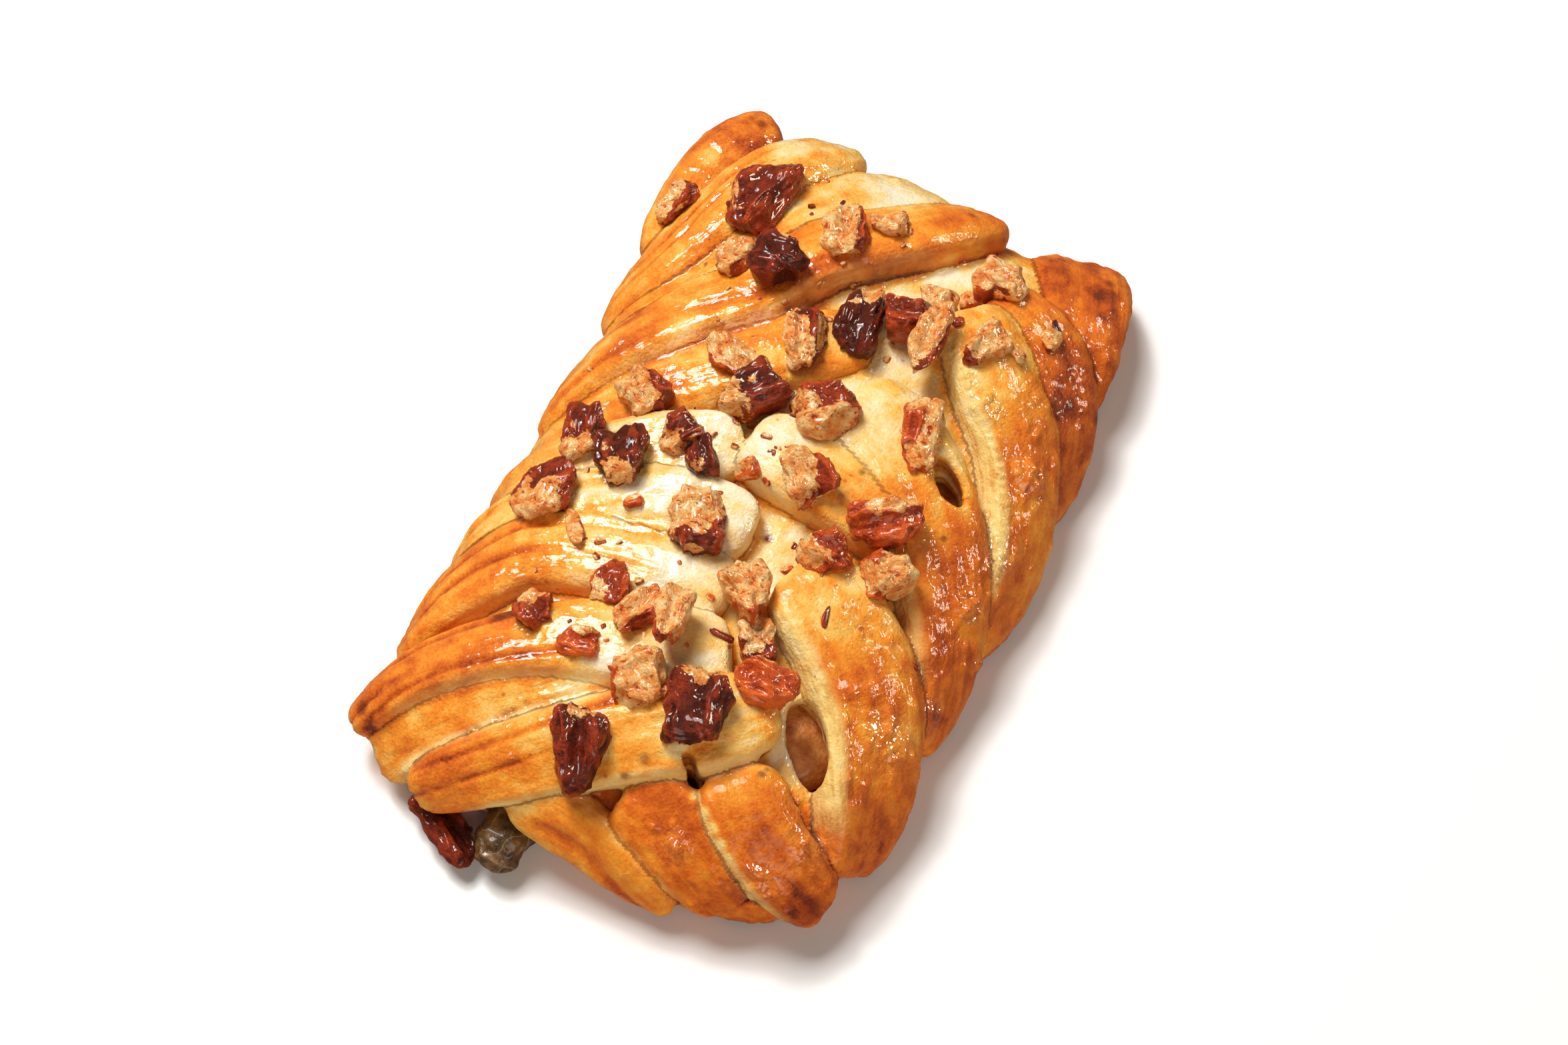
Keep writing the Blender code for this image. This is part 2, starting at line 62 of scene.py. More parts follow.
# Each strip: start, middle and end, as (x, y) or (x, y, z), width at both ends, thickness, lift at both ends,
# and roll in degrees.
STRIPS = {
    "left_corner": ((-34, 31, 8.5), (-37.0, 50.5, 7.4), (-31.0, 63.5, 8.0), 11.0, 10.0, 9.0, 0.0, 0.0, 0),
    "left_1": ((-34.5, 18, 4), (-27.0, 42), (-18.5, 59.5), 12.0, 15.0, 8.0, 1.0, 2.5, 0),
    "left_2": ((-34.5, 8, 4), (-20.5, 33), (-3.0, 60), 12.0, 19.0, 7.0, -0.5, 1.4, 0),
    "left_3": ((-34.5, -3, 4), (-20.5, 23.5), (9.0, 58.5), 12.0, 15.0, 7.5, 0.7, 1.5, -8),
    "left_4": ((-34.5, -12, 4), (-18.5, 11), (2.0, 28.0), 13.0, 14.0, 6.0, -0.5, 0.0, 0),
    "left_5": ((-34.5, -22, 4), (-20.5, -6.5), (-4.8, 1.8), 13.0, 13.0, 6.0, 0.0, 2.0, 8),
    "left_6": ((-34.5, -33, 4), (-20.5, -16.5), (3.0, -10.5), 13.0, 13.5, 6.0, 0.0, 2.2, 8),
    "left_7": ((-34.5, -45, 4), (-27.5, -29), (4.5, -20.5), 13.0, 13.5, 6.5, 0.8, 1.2, 0),
    "left_8": ((-34.5, -55, 5), (-20.8, -42), (9.0, -28.8), 8.5, 15.0, 7.0, 1.0, 2.0, -6),
    "left_8_side": ((-30, -58, 3.5), (-20.0, -50.5), (-4, -39.0), 13.0, 9.0, 6.5, 0.0, 0.5, 0),
    "left_9": ((-18.5, -56, 6), (-2, -48), (17.5, -33.0), 9.5, 15.5, 7.0, 1.0, 3.2, 6),
    "right_1": ((31.0, 37, 5), (28.0, 49.5, 10.5), (21.8, 62.6, 4.9), 12.0, 19.0, 6.5, 0.0, 0.0, 12),
    "right_2": ((34, 18, 4), (32.0, 33), (15.5, 43.0), 13.0, 14.0, 6.0, 0.0, 1.0, 0),
    "right_3": ((34, -6, 4), (31.5, 18), (13.5, 38.5), 14.0, 14.0, 7.5, 0.0, 2.0, 0),
    "right_4": ((34, -24, 4), (27.0, 0), (5.0, 15.5), 12.0, 20.0, 7.0, 0.0, 2.8, 0),
    "right_4_fold": ((26, -2), (12.0, 1.5), (-4.5, 3.0), 11.0, 15.0, 7.0, 1.5, 2.4, 0),
    "right_5": ((34, -45, 4), (27.0, -24), (10.5, -14.0), 17.0, 17.0, 7.5, 0.3, 2.6, 0),
    "right_7": ((33, -50.0, 5), (26.5, -50), (17.0, -43.5), 10.0, 14.0, 6.5, 0.0, 1.8, 0),
    "right_8": ((19.5, -51.0, 6.5), (12.6, -53.0), (5.0, -50.5), 11.0, 13.0, 6.0, 0.2, 1.5, 0),
    "right_9": ((15, -57, 3.5), (3.0, -57.6), (-10.0, -56.5), 8.5, 11.0, 5.5, 0.6, 2.2, 0),
}
LEVEL_STRIPS = ("left_corner", "right_1")
TIP_STARTS = {
    "left_8": (-4.3, -4.4, 0.5),
    "left_8_side": (-3.5, -3.0, 0.0),
    "left_9": (-3.5, -3.5, 1.0),
    "right_7": (2.0, -1.5, 0.0),
}

# How far each strip is baked at its rim, middle and end (0 cream, 1 dark brown), and how much of a pale,
# layered cut shows on the side to the left of its run, on the right, and at its end.
LOOKS = {
    "left_corner": (0.50, 0.56, 0.74, 0.0, 0.0, 0.0),
    "left_1": (0.52, 0.46, 0.36, 0.0, 0.0, 0.1),
    "left_2": (0.52, 0.40, 0.28, 0.0, 0.0, 0.1),
    "left_3": (0.52, 0.46, 0.62, 0.0, 0.3, 0.0),
    "left_4": (0.48, 0.50, 0.44, 0.0, 0.0, 0.2),
    "left_5": (0.44, 0.20, 0.10, 0.4, 0.6, 0.7),
    "left_6": (0.44, 0.18, 0.08, 0.4, 0.6, 0.7),
    "left_7": (0.56, 0.46, 0.20, 0.0, 0.2, 0.3),
    "left_8": (0.66, 0.56, 0.18, 0.0, 0.45, 0.4),
    "left_8_side": (0.55, 0.50, 0.40, 1.0, 2.0, 0.3),
    "left_9": (0.62, 0.46, 0.46, 0.3, 0.8, 0.4),
    "right_1": (0.76, 0.78, 0.76, 0.1, 0.0, 0.0),
    "right_2": (0.74, 0.78, 0.70, 0.2, 0.0, 0.1),
    "right_3": (0.68, 0.62, 0.44, 1.0, 0.0, 0.2),
    "right_4": (0.76, 0.68, 0.22, 0.6, 0.0, 0.5),
    "right_4_fold": (0.66, 0.30, 0.10, 0.3, 0.0, 0.4),
    "right_5": (0.74, 0.62, 0.38, 1.0, 0.0, 0.3),
    "right_7": (0.90, 0.72, 0.60, 0.7, 0.2, 0.2),
    "right_8": (0.76, 0.70, 0.64, 0.4, 0.2, 0.2),
    "right_9": (0.64, 0.52, 0.44, 0.0, 0.3, 0.0),
}
LOAF_BAKE = 0.16, 0.62  # on the crown and at the rim
BOTTOM_BAKE, BOTTOM_EDGE = 0.34, (0.3, 2.6)  # the browner edge round the underside, and its heights
# How strongly long pleats run along a strip; those not named have the last value.
PLEATED = {"left_corner": 0.8, "left_1": 0.9, "left_2": 0.5, "left_3": 0.9, "left_4": 0.35, "left_5": 0.6,
           "left_6": 0.8, "left_7": 1.0, "left_8": 1.0, "left_8_side": 0.6, "left_9": 1.1, "right_9": 0.7,
           "others": 0.22}

FILLING_ENDS_Y = (-67.0, 55.0)
FILLING_MOUTH = (-9.5, 4.3, 5.5, 3.9)
FILLING_BODY = (1.0, 9.2, 28.0, 4.9)
FILLING_TAPER_Y = (-62.0, -34.0)
FILLING_END, FILLING_GIRTH, FILLING_SIDE = 0.7, 0.4, 0.8
HOLLOW_GAP = 0.3
OPENINGS = [(23.8, -34.6, 15.0, 6.2, -50), (24.2, 10.0, 9.0, 4.2, -40), (12.3, -46.7, 4.5, 1.8, -35)]
OPENING_FLOOR, OPENING_TOP, OPENING_TAPER, OPENING_TURNS = 9.0, 30.0, 0.84, 40

# The photograph's camera: it looks at TARGET, in millimetres, from this turn and height above the horizon.
CAMERA_TURN, CAMERA_HEIGHT = math.radians(27.2), math.radians(60.0)
CAMERA_DISTANCE, PIXELS_PER_MM, SENSOR_MM = 405.0, 10.1, 36.0
PHOTO_WIDTH, PHOTO_HEIGHT = 2352, 1568
PHOTO_OFFSET = (23, 17)  # pixels from the photograph's middle to where the pastry's middle shows
LOOK_HEIGHT = 8.0


def filling_shift():
    """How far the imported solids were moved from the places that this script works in."""
    low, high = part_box("filling")
    return Vector(((low.x + high.x) / 2 / MM - FILLING_BODY[0], low.y / MM - FILLING_ENDS_Y[0], 0))


SHIFT = filling_shift()


def spow(value, exponent):
    """A power that keeps the sign, as a superellipse needs."""
    return np.sign(value) * np.abs(value) ** exponent


def smooth(value, low, high):
    t = np.clip((value - low) / (high - low), 0.0, 1.0)
    return t * t * (3 - 2 * t)


# ---- repeatable noise

def lattice(cells, seed):
    """A random number from 0 to 1 for each whole-number cell."""
    x, y, z = (cells[:, k].astype(np.uint64) for k in range(3))
    h = (x * np.uint64(73856093)) ^ (y * np.uint64(19349663)) ^ (z * np.uint64(83492791))
    h ^= np.uint64(seed * 2654435761 % 2**32)
    h = (h ^ (h >> np.uint64(13))) * np.uint64(1274126177)
    h = (h ^ (h >> np.uint64(16))) * np.uint64(2246822519)
    return ((h >> np.uint64(8)) & np.uint64(0xFFFFFF)).astype(float) / 0xFFFFFF


def value_noise(points, seed):
    """Smooth noise from -1 to 1 with one hump to a unit cell."""
    base = np.floor(points)
    share = points - base
    share = share * share * (3 - 2 * share)
    base = base.astype(np.int64) + 4096
    total = np.zeros(len(points))
    for corner in itertools.product((0, 1), repeat=3):
        weight = np.prod(np.where(corner, share, 1 - share), axis=1)
        total += weight * lattice(base + corner, seed)
    return total * 2 - 1


def layered_noise(points, seed, octaves=3):
    total, size = np.zeros(len(points)), 1.0
    for k in range(octaves):
        total += size * value_noise(points * 2**k + 17.3 * k, seed + k)
        size /= 2
    return total / (2 - 2 * size)


# ---- the loaf's unrolled sheet

def spine_y(y):
    return max(MIDDLE_Y - HALF_SPINE, min(MIDDLE_Y + HALF_SPINE, y))


def reach(x, y):
    """0 on the spine and 1 on the outline of the loaf."""
    along = abs(y - spine_y(y)) / END_LENGTH
    return (abs(x / HALF_WIDTH) ** CORNER + along**CORNER) ** (1 / CORNER)


def fold(x, y):
    """A point of the unrolled sheet, laid on the loaf."""
    share = min(reach(x, y), 1.0)
    swell = math.sin(share * math.pi / 2) ** SHOULDER / share if share > 1e-6 else 1.0
    height = RIM_HEIGHT + (CROWN_HEIGHT - RIM_HEIGHT) * math.cos(share * math.pi / 2) ** CROWN
    middle = spine_y(y)
    return Vector((x * swell, middle + (y - middle) * swell, height))


def unfold(x, y, z=None):
    """The point of the unrolled sheet that lies at (x, y), or at height z on the way past it to the rim."""
    now = max(reach(x, y), 1e-6)
    if z is None and now < 1:
        share = math.asin(now ** (1 / SHOULDER)) / (math.pi / 2)
    elif z is None:
        share = now
    else:
        high = max(0.0, (z - RIM_HEIGHT) / (CROWN_HEIGHT - RIM_HEIGHT))
        share = math.acos(high ** (1 / CROWN)) / (math.pi / 2)
    middle = spine_y(y)
    return Vector((x * share / now, middle + (y - middle) * share / now))


def loaf_normal(x, y):
    along_x = fold(x + NORMAL_STEP, y) - fold(x - NORMAL_STEP, y)
    along_y = fold(x, y + NORMAL_STEP) - fold(x, y - NORMAL_STEP)
    return along_x.cross(along_y).normalized()


# ---- closed forms made of rings

RING_TURNS, RING_STEP = 56, 0.9
LOAF_TURNS, LOAF_RINGS = 160, 30
CAP_GIRTHS = (0.3, 0.5, 0.66, 0.78, 0.88, 0.95)


def ring_faces(rings, turns, first):
    """Faces of a closed form with a point at each end and rings of points between them."""
    faces = []
    last = first + 1 + rings * turns
    for j in range(turns):
        k = (j + 1) % turns
        faces.append((first, first + 1 + j, first + 1 + k))
        faces.append((last, last - turns + k, last - turns + j))
        for i in range(rings - 1):
            a = first + 1 + i * turns
            faces.append((a + j, a + turns + j, a + turns + k, a + k))
    return faces


def ring_points(shares, turns, place):
    """Points for ring_faces: place(share, turn) on every ring, and one point at each end."""
    angles = np.arange(turns) * 2 * math.pi / turns
    share = np.concatenate([[shares[0]], np.repeat(shares[1:-1], turns), [shares[-1]]])
    turn = np.concatenate([[0], np.tile(angles, len(shares) - 2), [0]])
    return place(share, turn)


def strip_shares(length, step):
    """Shares of a strip's length for its rings: close together over its blunt ends, then evenly spaced."""
    caps = [(1 - (1 - g ** (2 / STRIP_GIRTH)) ** (STRIP_END / 2)) / 2 for g in CAP_GIRTHS]
    middle = np.linspace(caps[-1], 1 - caps[-1], max(8, int(length / step)))
    return np.concatenate([[0], caps[:-1], middle, [1 - c for c in reversed(caps[:-1])], [1]])


class Run:
    """The centre line of a strip, with its sideways and upward directions."""

    STEPS = 48

    def __init__(self, name):
        start, middle, end, self.width_0, self.width_1, self.thick, lift_0, lift_1, roll = STRIPS[name]
        level = name in LEVEL_STRIPS
        lay = (lambda *place: Vector(place)) if level else unfold
        start, middle, end = lay(*start), lay(*middle), lay(*end)
        handle = 2 * middle - (start + end) / 2
        tip = Vector(TIP_STARTS.get(name, (0, 0, 0)))
        points, normals = [], []
        for i in range(self.STEPS + 1):
            t = i / self.STEPS
            p = start * (1 - t) ** 2 + handle * 2 * t * (1 - t) + end * t**2
            normal = Vector((0, 0, 1)) if level else loaf_normal(p.x, p.y)
            laid = p if level else fold(p.x, p.y)
            normals.append(normal)
            points.append(laid + normal * (lift_0 + (lift_1 - lift_0) * t) + tip * (1 - t) ** 3)
        self.points = np.array(points)
        steps = np.linalg.norm(np.diff(self.points, axis=0), axis=1)
        self.lengths = np.concatenate([[0], np.cumsum(steps)])
        across, up = [], []
        for i, normal in enumerate(normals):
            ahead = Vector(self.points[min(self.STEPS, i + 3)] - self.points[max(0, i - 3)])
            side = normal.cross(ahead).normalized()
            turned = Matrix.Rotation(math.radians(roll), 3, ahead)
            across.append(turned @ side)
            up.append(turned @ ahead.cross(side).normalized())
        self.across, self.up = np.array(across), np.array(up)

    def at(self, share):
        """Points, sideways and upward directions at these shares of the length."""
        goal = share * self.lengths[-1]
        found = []
        for table in (self.points, self.across, self.up):
            found.append(np.stack([np.interp(goal, self.lengths, table[:, k]) for k in range(3)], axis=1))
        return found


WIDTH_WANDER, THICK_WANDER, WANDER_SIZE = 0.045, 0.10, 13.0
LIP_HEIGHT, LIP_PLACE, LIP_WIDTH = 0.55, 0.8, 0.16  # the raised edge over a cut side
# What is known of each point: the number of its strip, its place along, across and up the strip, its share of
# the half width, of the length and of the half thickness.
STRIP, ALONG, SIDE, RISE, OUT, SHARE, UP = range(7)


def strip_form(name, index):
    """Points, rings, points to a ring and fields of one strip."""
    run = Run(name)
    length = run.lengths[-1]
    shares = strip_shares(length, RING_STEP)
    cut_left, cut_right = LOOKS[name][3:5]
    fields = []

    def place(share, turn):
        point, across, up = run.at(share)
        c = np.abs(1 - 2 * share) ** (1 / STRIP_END)
        girth = np.clip(1 - c * c, 0, 1) ** (STRIP_GIRTH / 2)
        along = share * length
        drift = np.stack([along / WANDER_SIZE, np.full_like(along, index * 7.1), 0 * along], axis=1)
        width = run.width_0 + (run.width_1 - run.width_0) * share
        width = width * (1 + WIDTH_WANDER * value_noise(drift, 3))
        thick = run.thick * (1 + THICK_WANDER * value_noise(drift + 31, 5))
        u, v = spow(np.cos(turn), STRIP_SIDE), spow(np.sin(turn), STRIP_SIDE)
        side, rise = width / 2 * girth * u, thick / 2 * girth * v
        cut = np.minimum(np.where(u > 0, cut_left, cut_right), 1)
        lip = cut * np.exp(-(((np.abs(u) - LIP_PLACE) / LIP_WIDTH) ** 2)) * (v > 0) * girth
        rise = rise + LIP_HEIGHT * lip
        number = np.full_like(share, index)
        fields.append(np.stack([number, along, side, rise, u * girth, share, v * girth], axis=1))
        return point + across * side[:, None] + up * rise[:, None]

    points = ring_points(shares, RING_TURNS, place)
    return points, len(shares) - 2, RING_TURNS, fields[0]


def outline(turn):
    """The point of the loaf's outline on the ray of this angle."""
    ray = Vector((HALF_WIDTH * math.cos(turn), (HALF_SPINE + END_LENGTH) * math.sin(turn)))
    low, high = 0.3, 2.0
    for _ in range(40):
        middle = (low + high) / 2
        if reach(ray.x * middle, ray.y * middle + MIDDLE_Y) < 1:
            low = middle
        else:
            high = middle
    return ray * low


def loaf_form():
    """Points, rings, points to a ring and fields of the loaf, from the top of its crown to its underside."""
    edges = [outline(j * 2 * math.pi / LOAF_TURNS) for j in range(LOAF_TURNS)]
    tops = np.linspace(0, 1, LOAF_RINGS + 1)
    points = [fold(0, MIDDLE_Y)]
    for share in tops[1:]:
        points += [fold(e.x * share, e.y * share + MIDDLE_Y) for e in edges]
    for share in tops[-2:0:-1]:
        wide = math.sin(share * math.pi / 2) ** BASE_TUCK
        z = RIM_HEIGHT - (RIM_HEIGHT + BASE_SAG) * math.cos(share * math.pi / 2) ** BASE_DROP
        points += [Vector((e.x * wide, e.y * wide + MIDDLE_Y, z)) for e in edges]
    points.append(Vector((0, MIDDLE_Y, -BASE_SAG)))
    points = np.array(points)
    fields = np.zeros((len(points), UP + 1))
    fields[:, STRIP] = len(STRIPS)
    fields[:, ALONG], fields[:, SIDE], fields[:, RISE] = points[:, 1], points[:, 0], points[:, 2]
    fields[:, SHARE] = 0.5
    return points, 2 * LOAF_RINGS - 1, LOAF_TURNS, fields


def filling_form(swell, turns=48, rings=70):
    """Points, rings and points to a ring of the filling's roll, made larger all round by swell."""
    def place(share, turn):
        c = np.abs(1 - 2 * share) ** (1 / FILLING_END)
        girth = np.clip(1 - c * c, 0, 1) ** (FILLING_GIRTH / 2)
        near, far = FILLING_ENDS_Y[0] - swell, FILLING_ENDS_Y[1] + swell
        y = near + (far - near) * share
        body = smooth(y, *FILLING_TAPER_Y)
        x, z, half_width, half_height = (a + (b - a) * body for a, b in zip(FILLING_MOUTH, FILLING_BODY))
        side = (half_width + swell) * girth * spow(np.cos(turn), FILLING_SIDE)
        rise = (half_height + swell) * girth * spow(np.sin(turn), FILLING_SIDE)
        return np.stack([x + side, y, z + rise], axis=1)

    shares = (1 - np.cos(np.linspace(0, math.pi, rings))) / 2
    return ring_points(shares, turns, place), rings - 2, turns


# ---- meshes

def add_object(name, data):
    obj = bpy.data.objects.new(name, data)
    bpy.context.scene.collection.objects.link(obj)
    return obj


def new_mesh_object(name, points, faces):
    """An object whose points, in millimetres, are moved into the frame."""
    mesh = bpy.data.meshes.new(name)
    moved = (np.asarray(points) + np.array(SHIFT)) * MM
    mesh.from_pydata(moved.tolist(), [], faces)
    mesh.update()
    return add_object(name, mesh)


def taken_from(bm):
    """Points and faces of a bmesh, which is then freed."""
    points = [tuple(v.co) for v in bm.verts]
    faces = [tuple(v.index for v in f.verts) for f in bm.faces]
    bm.free()
    return points, faces


def with_modifier(obj, kind, **settings):
    """Apply one modifier to an object."""
    modifier = obj.modifiers.new(kind.lower(), kind)
    for key, value in settings.items():
        setattr(modifier, key, value)
    graph = bpy.context.evaluated_depsgraph_get()
    mesh = bpy.data.meshes.new_from_object(obj.evaluated_get(graph))
    obj.modifiers.clear()
    old, obj.data = obj.data, mesh
    bpy.data.meshes.remove(old)


def values_of(items, key, width, kind=float):
    """One row of numbers for each vertex or edge."""
    flat = np.zeros(len(items) * width, dtype=kind)
    items.foreach_get(key, flat)
    return flat.reshape(-1, width)


def points_of(obj):
    return values_of(obj.data.vertices, "co", 3) / MM - np.array(SHIFT)


def normals_of(obj):
    return values_of(obj.data.vertices, "normal", 3)


def edges_of(obj):
    return values_of(obj.data.edges, "vertices", 2, np.int64)


def polygons_of(obj):
    return [tuple(p.vertices) for p in obj.data.polygons]


def tree_of(obj):
    return BVHTree.FromPolygons([v.co for v in obj.data.vertices], polygons_of(obj))


def set_points(obj, points):
    moved = (points + np.array(SHIFT)) * MM
    obj.data.vertices.foreach_set("co", moved.ravel())
    obj.data.update()


def relaxed(values, edges, rounds, pull=0.5):
    """Values at the points, drawn towards their neighbours' mean."""
    values = np.array(values, dtype=float)
    count = np.bincount(edges.ravel(), minlength=len(values)).astype(float)
    count = count[:, None] if values.ndim == 2 else count
    for _ in range(rounds):
        total = np.zeros_like(values)
        np.add.at(total, edges[:, 0], values[edges[:, 1]])
        np.add.at(total, edges[:, 1], values[edges[:, 0]])
        values += pull * (total / count - values)
    return values


def store(obj, **fields):
    """Keep numbers or vectors for each point, for the materials to read."""
    for name, values in fields.items():
        vector = np.ndim(values) == 2
        attribute = obj.data.attributes.new(name, "FLOAT_VECTOR" if vector else "FLOAT", "POINT")
        flat = np.asarray(values, dtype=np.float32).ravel()
        attribute.data.foreach_set("vector" if vector else "value", flat)


def cut_away(obj, cutters):
    """Cut closed forms out of an object by one Boolean, and remove them."""
    collection = bpy.data.collections.new("cutters")
    bpy.context.scene.collection.children.link(collection)
    for cutter in cutters:
        bpy.context.scene.collection.objects.unlink(cutter)
        collection.objects.link(cutter)
    with_modifier(obj, "BOOLEAN", operation="DIFFERENCE", solver="MANIFOLD",
                  operand_type="COLLECTION", collection=collection)
    for cutter in cutters:
        bpy.data.objects.remove(cutter)
    bpy.data.collections.remove(collection)


def opening_cutter(spec):
    """An upright oval plug that narrows downwards."""
    x, y, length, width, turn = spec
    bm = bmesh.new()
    bmesh.ops.create_cone(bm, cap_ends=True, segments=OPENING_TURNS,
                          radius1=OPENING_TAPER / 2, radius2=0.5, depth=1.0)
    height = OPENING_TOP - OPENING_FLOOR
    stretch = Matrix.Diagonal((length, width, height, 1))
    place = Matrix.Translation((x, y, OPENING_FLOOR + height / 2))
    turned = place @ Matrix.Rotation(math.radians(turn), 4, "Z")
    bmesh.ops.transform(bm, matrix=turned @ stretch, verts=bm.verts)
    return new_mesh_object("opening", *taken_from(bm))


# ---- the camera, which also finds what a pixel of the photograph shows

def camera_axes():
    """Forward, right and up of the photograph's camera."""
    ahead = Vector((-math.sin(CAMERA_TURN) * math.cos(CAMERA_HEIGHT),
                    math.cos(CAMERA_TURN) * math.cos(CAMERA_HEIGHT), -math.sin(CAMERA_HEIGHT)))
    right = Vector((math.cos(CAMERA_TURN), math.sin(CAMERA_TURN), 0))
    return ahead, right, right.cross(ahead)


def camera_place():
    """The camera's place in millimetres, in the frame."""
    ahead, right, up = camera_axes()
    target = Vector((0, 0, LOOK_HEIGHT)) + SHIFT
    target += right * (PHOTO_OFFSET[0] / PIXELS_PER_MM) - up * (PHOTO_OFFSET[1] / PIXELS_PER_MM)
    return target - ahead * CAMERA_DISTANCE


def make_camera():
    data = bpy.data.cameras.new("camera")
    data.sensor_width = SENSOR_MM
    data.lens = SENSOR_MM * CAMERA_DISTANCE * PIXELS_PER_MM / PHOTO_WIDTH
    data.clip_start, data.clip_end = 0.02, 20.0
    camera = add_object("camera", data)
    camera.location = camera_place() * MM
    camera.rotation_mode = "QUATERNION"
    camera.rotation_quaternion = camera_axes()[0].to_track_quat("-Z", "Y")
    bpy.context.scene.camera = camera


def seen_at(tree, px, py):
    """(place in metres, normal) of the surface that shows at a pixel of the photograph."""
    ahead, right, up = camera_axes()
    across = (px - PHOTO_WIDTH / 2) / PIXELS_PER_MM
    down = (py - PHOTO_HEIGHT / 2) / PIXELS_PER_MM
    ray = (ahead * CAMERA_DISTANCE + right * across - up * down).normalized()
    hit, normal, _, _ = tree.ray_cast(camera_place() * MM, ray)
    return hit, normal


# ---- the dough

VOXEL = 0.46
# Rounds of smoothing: of the joined strips, to find the creases, of the edges of cuts, and of pleats.
ROUNDING, CREASE_ROUNDS, CUT_ROUNDS, PLEAT_ROUNDS = 2, 24, 2, 1
STRIPS_APART = 41.0, 17.0  # how far apart the strips lie in their noise, across and up
NEAREST_SOFTENING = 0.02  # how evenly a point's fields are taken from the corners of the nearest face
INNER_AWAY = 0.7, 1.5  # how far from every strip the walls of the hollow and of the openings begin

# Baking along a strip: where it turns from the rim's to the middle's, and from the middle's to the end's.
RIM_SHARES, END_SHARES = (0.05, 0.5), (0.45, 0.9)
LOAF_DEPTHS = -16.0, -9.0  # heights, counted downwards, between which the loaf turns browner

# Pleats: how far apart, how long, how far and how slowly they wander, how narrow their valleys are, where
# they fade along a strip and by how much, the sizes and levels of the patches without them, and their depth.
PLEAT_SPACING, PLEAT_RUN, PLEAT_WANDER, PLEAT_WANDER_RUN, PLEAT_VALLEY = 3.1, 50, 0.6, 15, 0.14
PLEAT_FADE, PLEAT_FADED, PLEAT_PATCH, PLEAT_PATCH_LEVEL = (0.6, 0.88), 0.8, (17, 5), (-0.7, 0.2)
PLEAT_DEPTH = 0.55

# The layered cut: where on the side it begins and how that varies, how soft its edge is, how high on the side
# and where along the strip it shows, and where it begins at the end.
CUT_BEGINS, CUT_WIDER, CUT_RAGGED, CUT_SOFT = 0.90, 0.24, 0.07, 0.18
CUT_UP, CUT_ALONG, CUT_END = (-0.95, -0.5), (0.06, 0.26), (0.965, 0.992)

# Noise of the relief: cells to a millimetre along, across and up a strip, and the seed.
LONG_WRINKLES, CROSS_WRINKLES = ((0.055, 0.36, 0.36), 21), ((0.42, 0.13, 0.13), 33)
FLAKES, FLAKE_OFFSET, FLAKE_STEPS = ((0.10, 0.26, 0.26), 47), 5.5, ((0.02, 0.07), (0.28, 0.33), (0.22, 0.27))
GRIT, LAYER_DRIFT, LAYER_PITCH, LAYER_SWAY = (0.9, 59), ((0.08, 0.3, 0.5), 71), 5.2, 2.2
# Heights of the crust's wrinkles, flakes and grit, then of the cut's layers, grit and wrinkles. Where two are
# given, the second is added on the right of the pastry, which begins at RIGHT_SIDE.
LONG_HEIGHT, CROSS_HEIGHT, FLAKE_HEIGHT, GRIT_HEIGHT = 0.24, (0.08, 0.16), 0.12, 0.07
LAYER_HEIGHT, CUT_GRIT_HEIGHT, CUT_LONG_HEIGHT, RIGHT_SIDE = (0.08, -0.07), 0.18, 0.16, (8, 24)
# The notched edge by a cut side: its strip, length and height of a notch, how uneven, and where and how wide.
TOOTHED, TOOTH, TOOTH_HEIGHT = list(STRIPS).index("right_3"), 1.6, 0.20
TOOTH_UNEVEN, TOOTH_PLACE, TOOTH_WIDTH = (0.5, 0.3, 73), 0.80, 0.07
INNER_SMOOTH = 0.6  # by what share the relief is less on the walls

# Blisters: how many, radius, height to the radius and how it varies, how often they come on the left, where
# the right begins, and how steep, how far inside and how much of a cut a blister's place may be.
BLISTERS, BLISTER_SIZE, BLISTER_HEIGHT, BLISTER_VARIES = 520, (0.5, 1.4), 0.26, (0.4, 1.0)
BLISTER_LEFT, BLISTER_RIGHT, BLISTER_STEEP, BLISTER_INNER, BLISTER_CUT = 0.15, (0, 25), 0.1, 0.1, 0.3
DOUGH_SEED = 11

# Bubbles that stand out on the glaze: pixel of the photograph, radius and height.
BUBBLES = [(1538, 643, 1.1, 0.5), (981, 1242, 1.0, 0.55), (1586, 534, 0.9, 0.35), (1543, 491, 0.8, 0.3)]
# Holes in the layered cut below the near left strip, darkened inside by painted shade: pixel of the
# photograph, radius and depth.
HOLES = [(757, 1072, 0.6, 0.7), (768, 1066, 0.45, 0.6), (745, 1079, 0.4, 0.5), (716, 1093, 0.5, 0.5),
         (700, 1101, 0.4, 0.5), (790, 1056, 0.4, 0.4), (664, 1121, 0.35, 0.4)]
# Dark specks and scorched spots: pixel of the photograph, radius, strength.
SPECKS = [(1152, 808, 0.75, 1.0), (542, 1062, 1.2, 0.8), (1453, 304, 0.8, 0.8), (1458, 325, 0.7, 0.7),
          (1664, 427, 0.9, 0.7), (1645, 629, 1.2, 0.8), (1294, 708, 0.5, 0.7), (1416, 808, 0.5, 0.8),
          (967, 1140, 0.8, 0.6), (937, 1164, 0.6, 0.7), (1143, 1162, 0.6, 0.8), (1151, 1155, 0.4, 0.7),
          (1292, 942, 0.5, 0.7), (1260, 745, 0.35, 0.6), (1219, 1360, 1.6, 0.5), (1240, 1385, 2.2, 0.5),
          (1143, 186, 0.9, 0.8), (1128, 178, 0.6, 0.5)]
